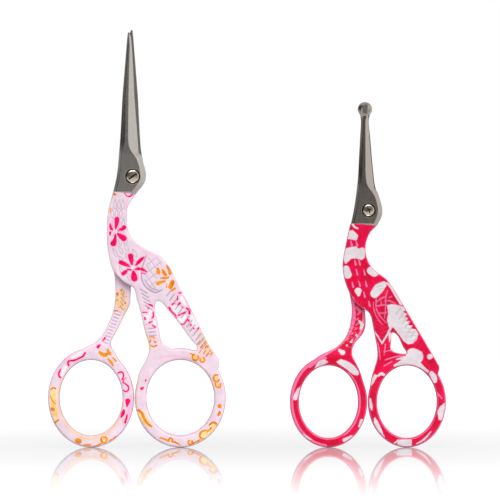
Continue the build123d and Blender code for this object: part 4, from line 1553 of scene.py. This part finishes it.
# %% World
world = bpy.data.worlds.new("studio")
scene.world = world
world.use_nodes = True
t = Tree(world.node_tree)
world_background = t.tree.nodes["Background"]
path = t.node("ShaderNodeLightPath").outputs
spot = t.node("ShaderNodeSeparateXYZ", {0: t.node("ShaderNodeTexCoord").outputs["Generated"]}).outputs
right_side = t.math("ADD", t.span(spot["X"], -0.5, 1.1, 0.04, 0.7), t.span(spot["X"], 0.3, 0.85, 0.0, 0.75))
left_side = t.span(spot["X"], -0.94, -1.0, 0.0, 0.5)
behind = t.math("ADD", t.span(spot["Y"], 0.0, 0.35, 0.0, 0.6), t.span(spot["Y"], 0.75, 0.96, 0.0, 0.4))
above = t.span(spot["Z"], 0.25, 0.8, 0.0, 0.85)
around = t.math("MAXIMUM", t.math("MAXIMUM", right_side, left_side), t.math("MAXIMUM", above, behind))
t.put((1, 1, 1, 1), world_background.inputs["Color"])
t.put(t.math("MAXIMUM", around, path["Is Camera Ray"]), world_background.inputs["Strength"])
print("world nodes", len(t.tree.nodes))

# %% [markdown]
# Three broad lamps light the coats and give the floor its soft shadow. Small ones would cast hard shadows
# and leave small hard spots on the gloss.


# %% Lights
def soft_light(name, place, aim, width, height, power, mirrored=True):
    """A broad lamp that the camera never sees, and that steel and floor may mirror."""
    data = bpy.data.lights.new(name, "AREA")
    data.shape = "RECTANGLE"
    data.size, data.size_y, data.energy = width, height, power
    obj = bpy.data.objects.new(name, data)
    scene.collection.objects.link(obj)
    obj.visible_camera = False
    obj.visible_glossy = mirrored
    obj.location = place
    obj.rotation_euler = (Vector(aim) - Vector(place)).to_track_quat("-Z", "Y").to_euler()
    print("lamp", name, power, "watts")


middle = (0.0, 0.0, 0.055)
soft_light("right", (0.75, -0.42, 0.22), middle, 0.8, 0.9, 1.6, mirrored=False)
soft_light("top", (0.05, -0.6, 0.95), middle, 0.9, 0.7, 5.5)
soft_light("front", (-0.15, -1.15, 1.0), middle, 0.8, 0.6, 9.0)

# %% [markdown]
# A long lens far away keeps the scissors' thin sides out of sight, as in the reference, where both pairs are
# seen straight from the front.

# %% Camera
lens, sensor = 300.0, 36.0
view_width = 0.13735  # metres across the picture, at the front of the scissors
view_beside_screw = 0.032232  # of the picture's middle, to the right of the pointed pair's screw
view_height = 0.05428
view_depth = -0.0019  # the front of the scissors
picture_side = 500
camera_data = bpy.data.cameras.new("camera")
camera_data.lens, camera_data.sensor_width = lens, sensor
camera_data.clip_start, camera_data.clip_end = 0.01, 10
camera = bpy.data.objects.new("camera", camera_data)
scene.collection.objects.link(camera)
view_x = joints["pointed_pivot"]["pos_m"][0] + view_beside_screw
camera.location = (view_x, view_depth - view_width * lens / sensor, view_height)
camera.rotation_euler = (math.radians(90), 0, 0)
scene.camera = camera
scene.render.resolution_x = scene.render.resolution_y = picture_side
scene.view_settings.view_transform = "Standard"
print("camera at", [round(v, 4) for v in camera.location])

# %% [markdown]
# ## Sizes
# The dressed part's box is set beside that of the solids, so that a piece that has grown or sunk shows up at
# once.

# %% Sizes and finish
size = {"cad": [list(corner) for corner in cad_box], "visual": [list(corner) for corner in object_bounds()]}
for axis in range(3):
    low, high = (size["visual"][k][axis] - size["cad"][k][axis] for k in (0, 1))
    print("axis", axis, "low moved mm", round(low / MM, 3), "high moved mm", round(high / MM, 3))
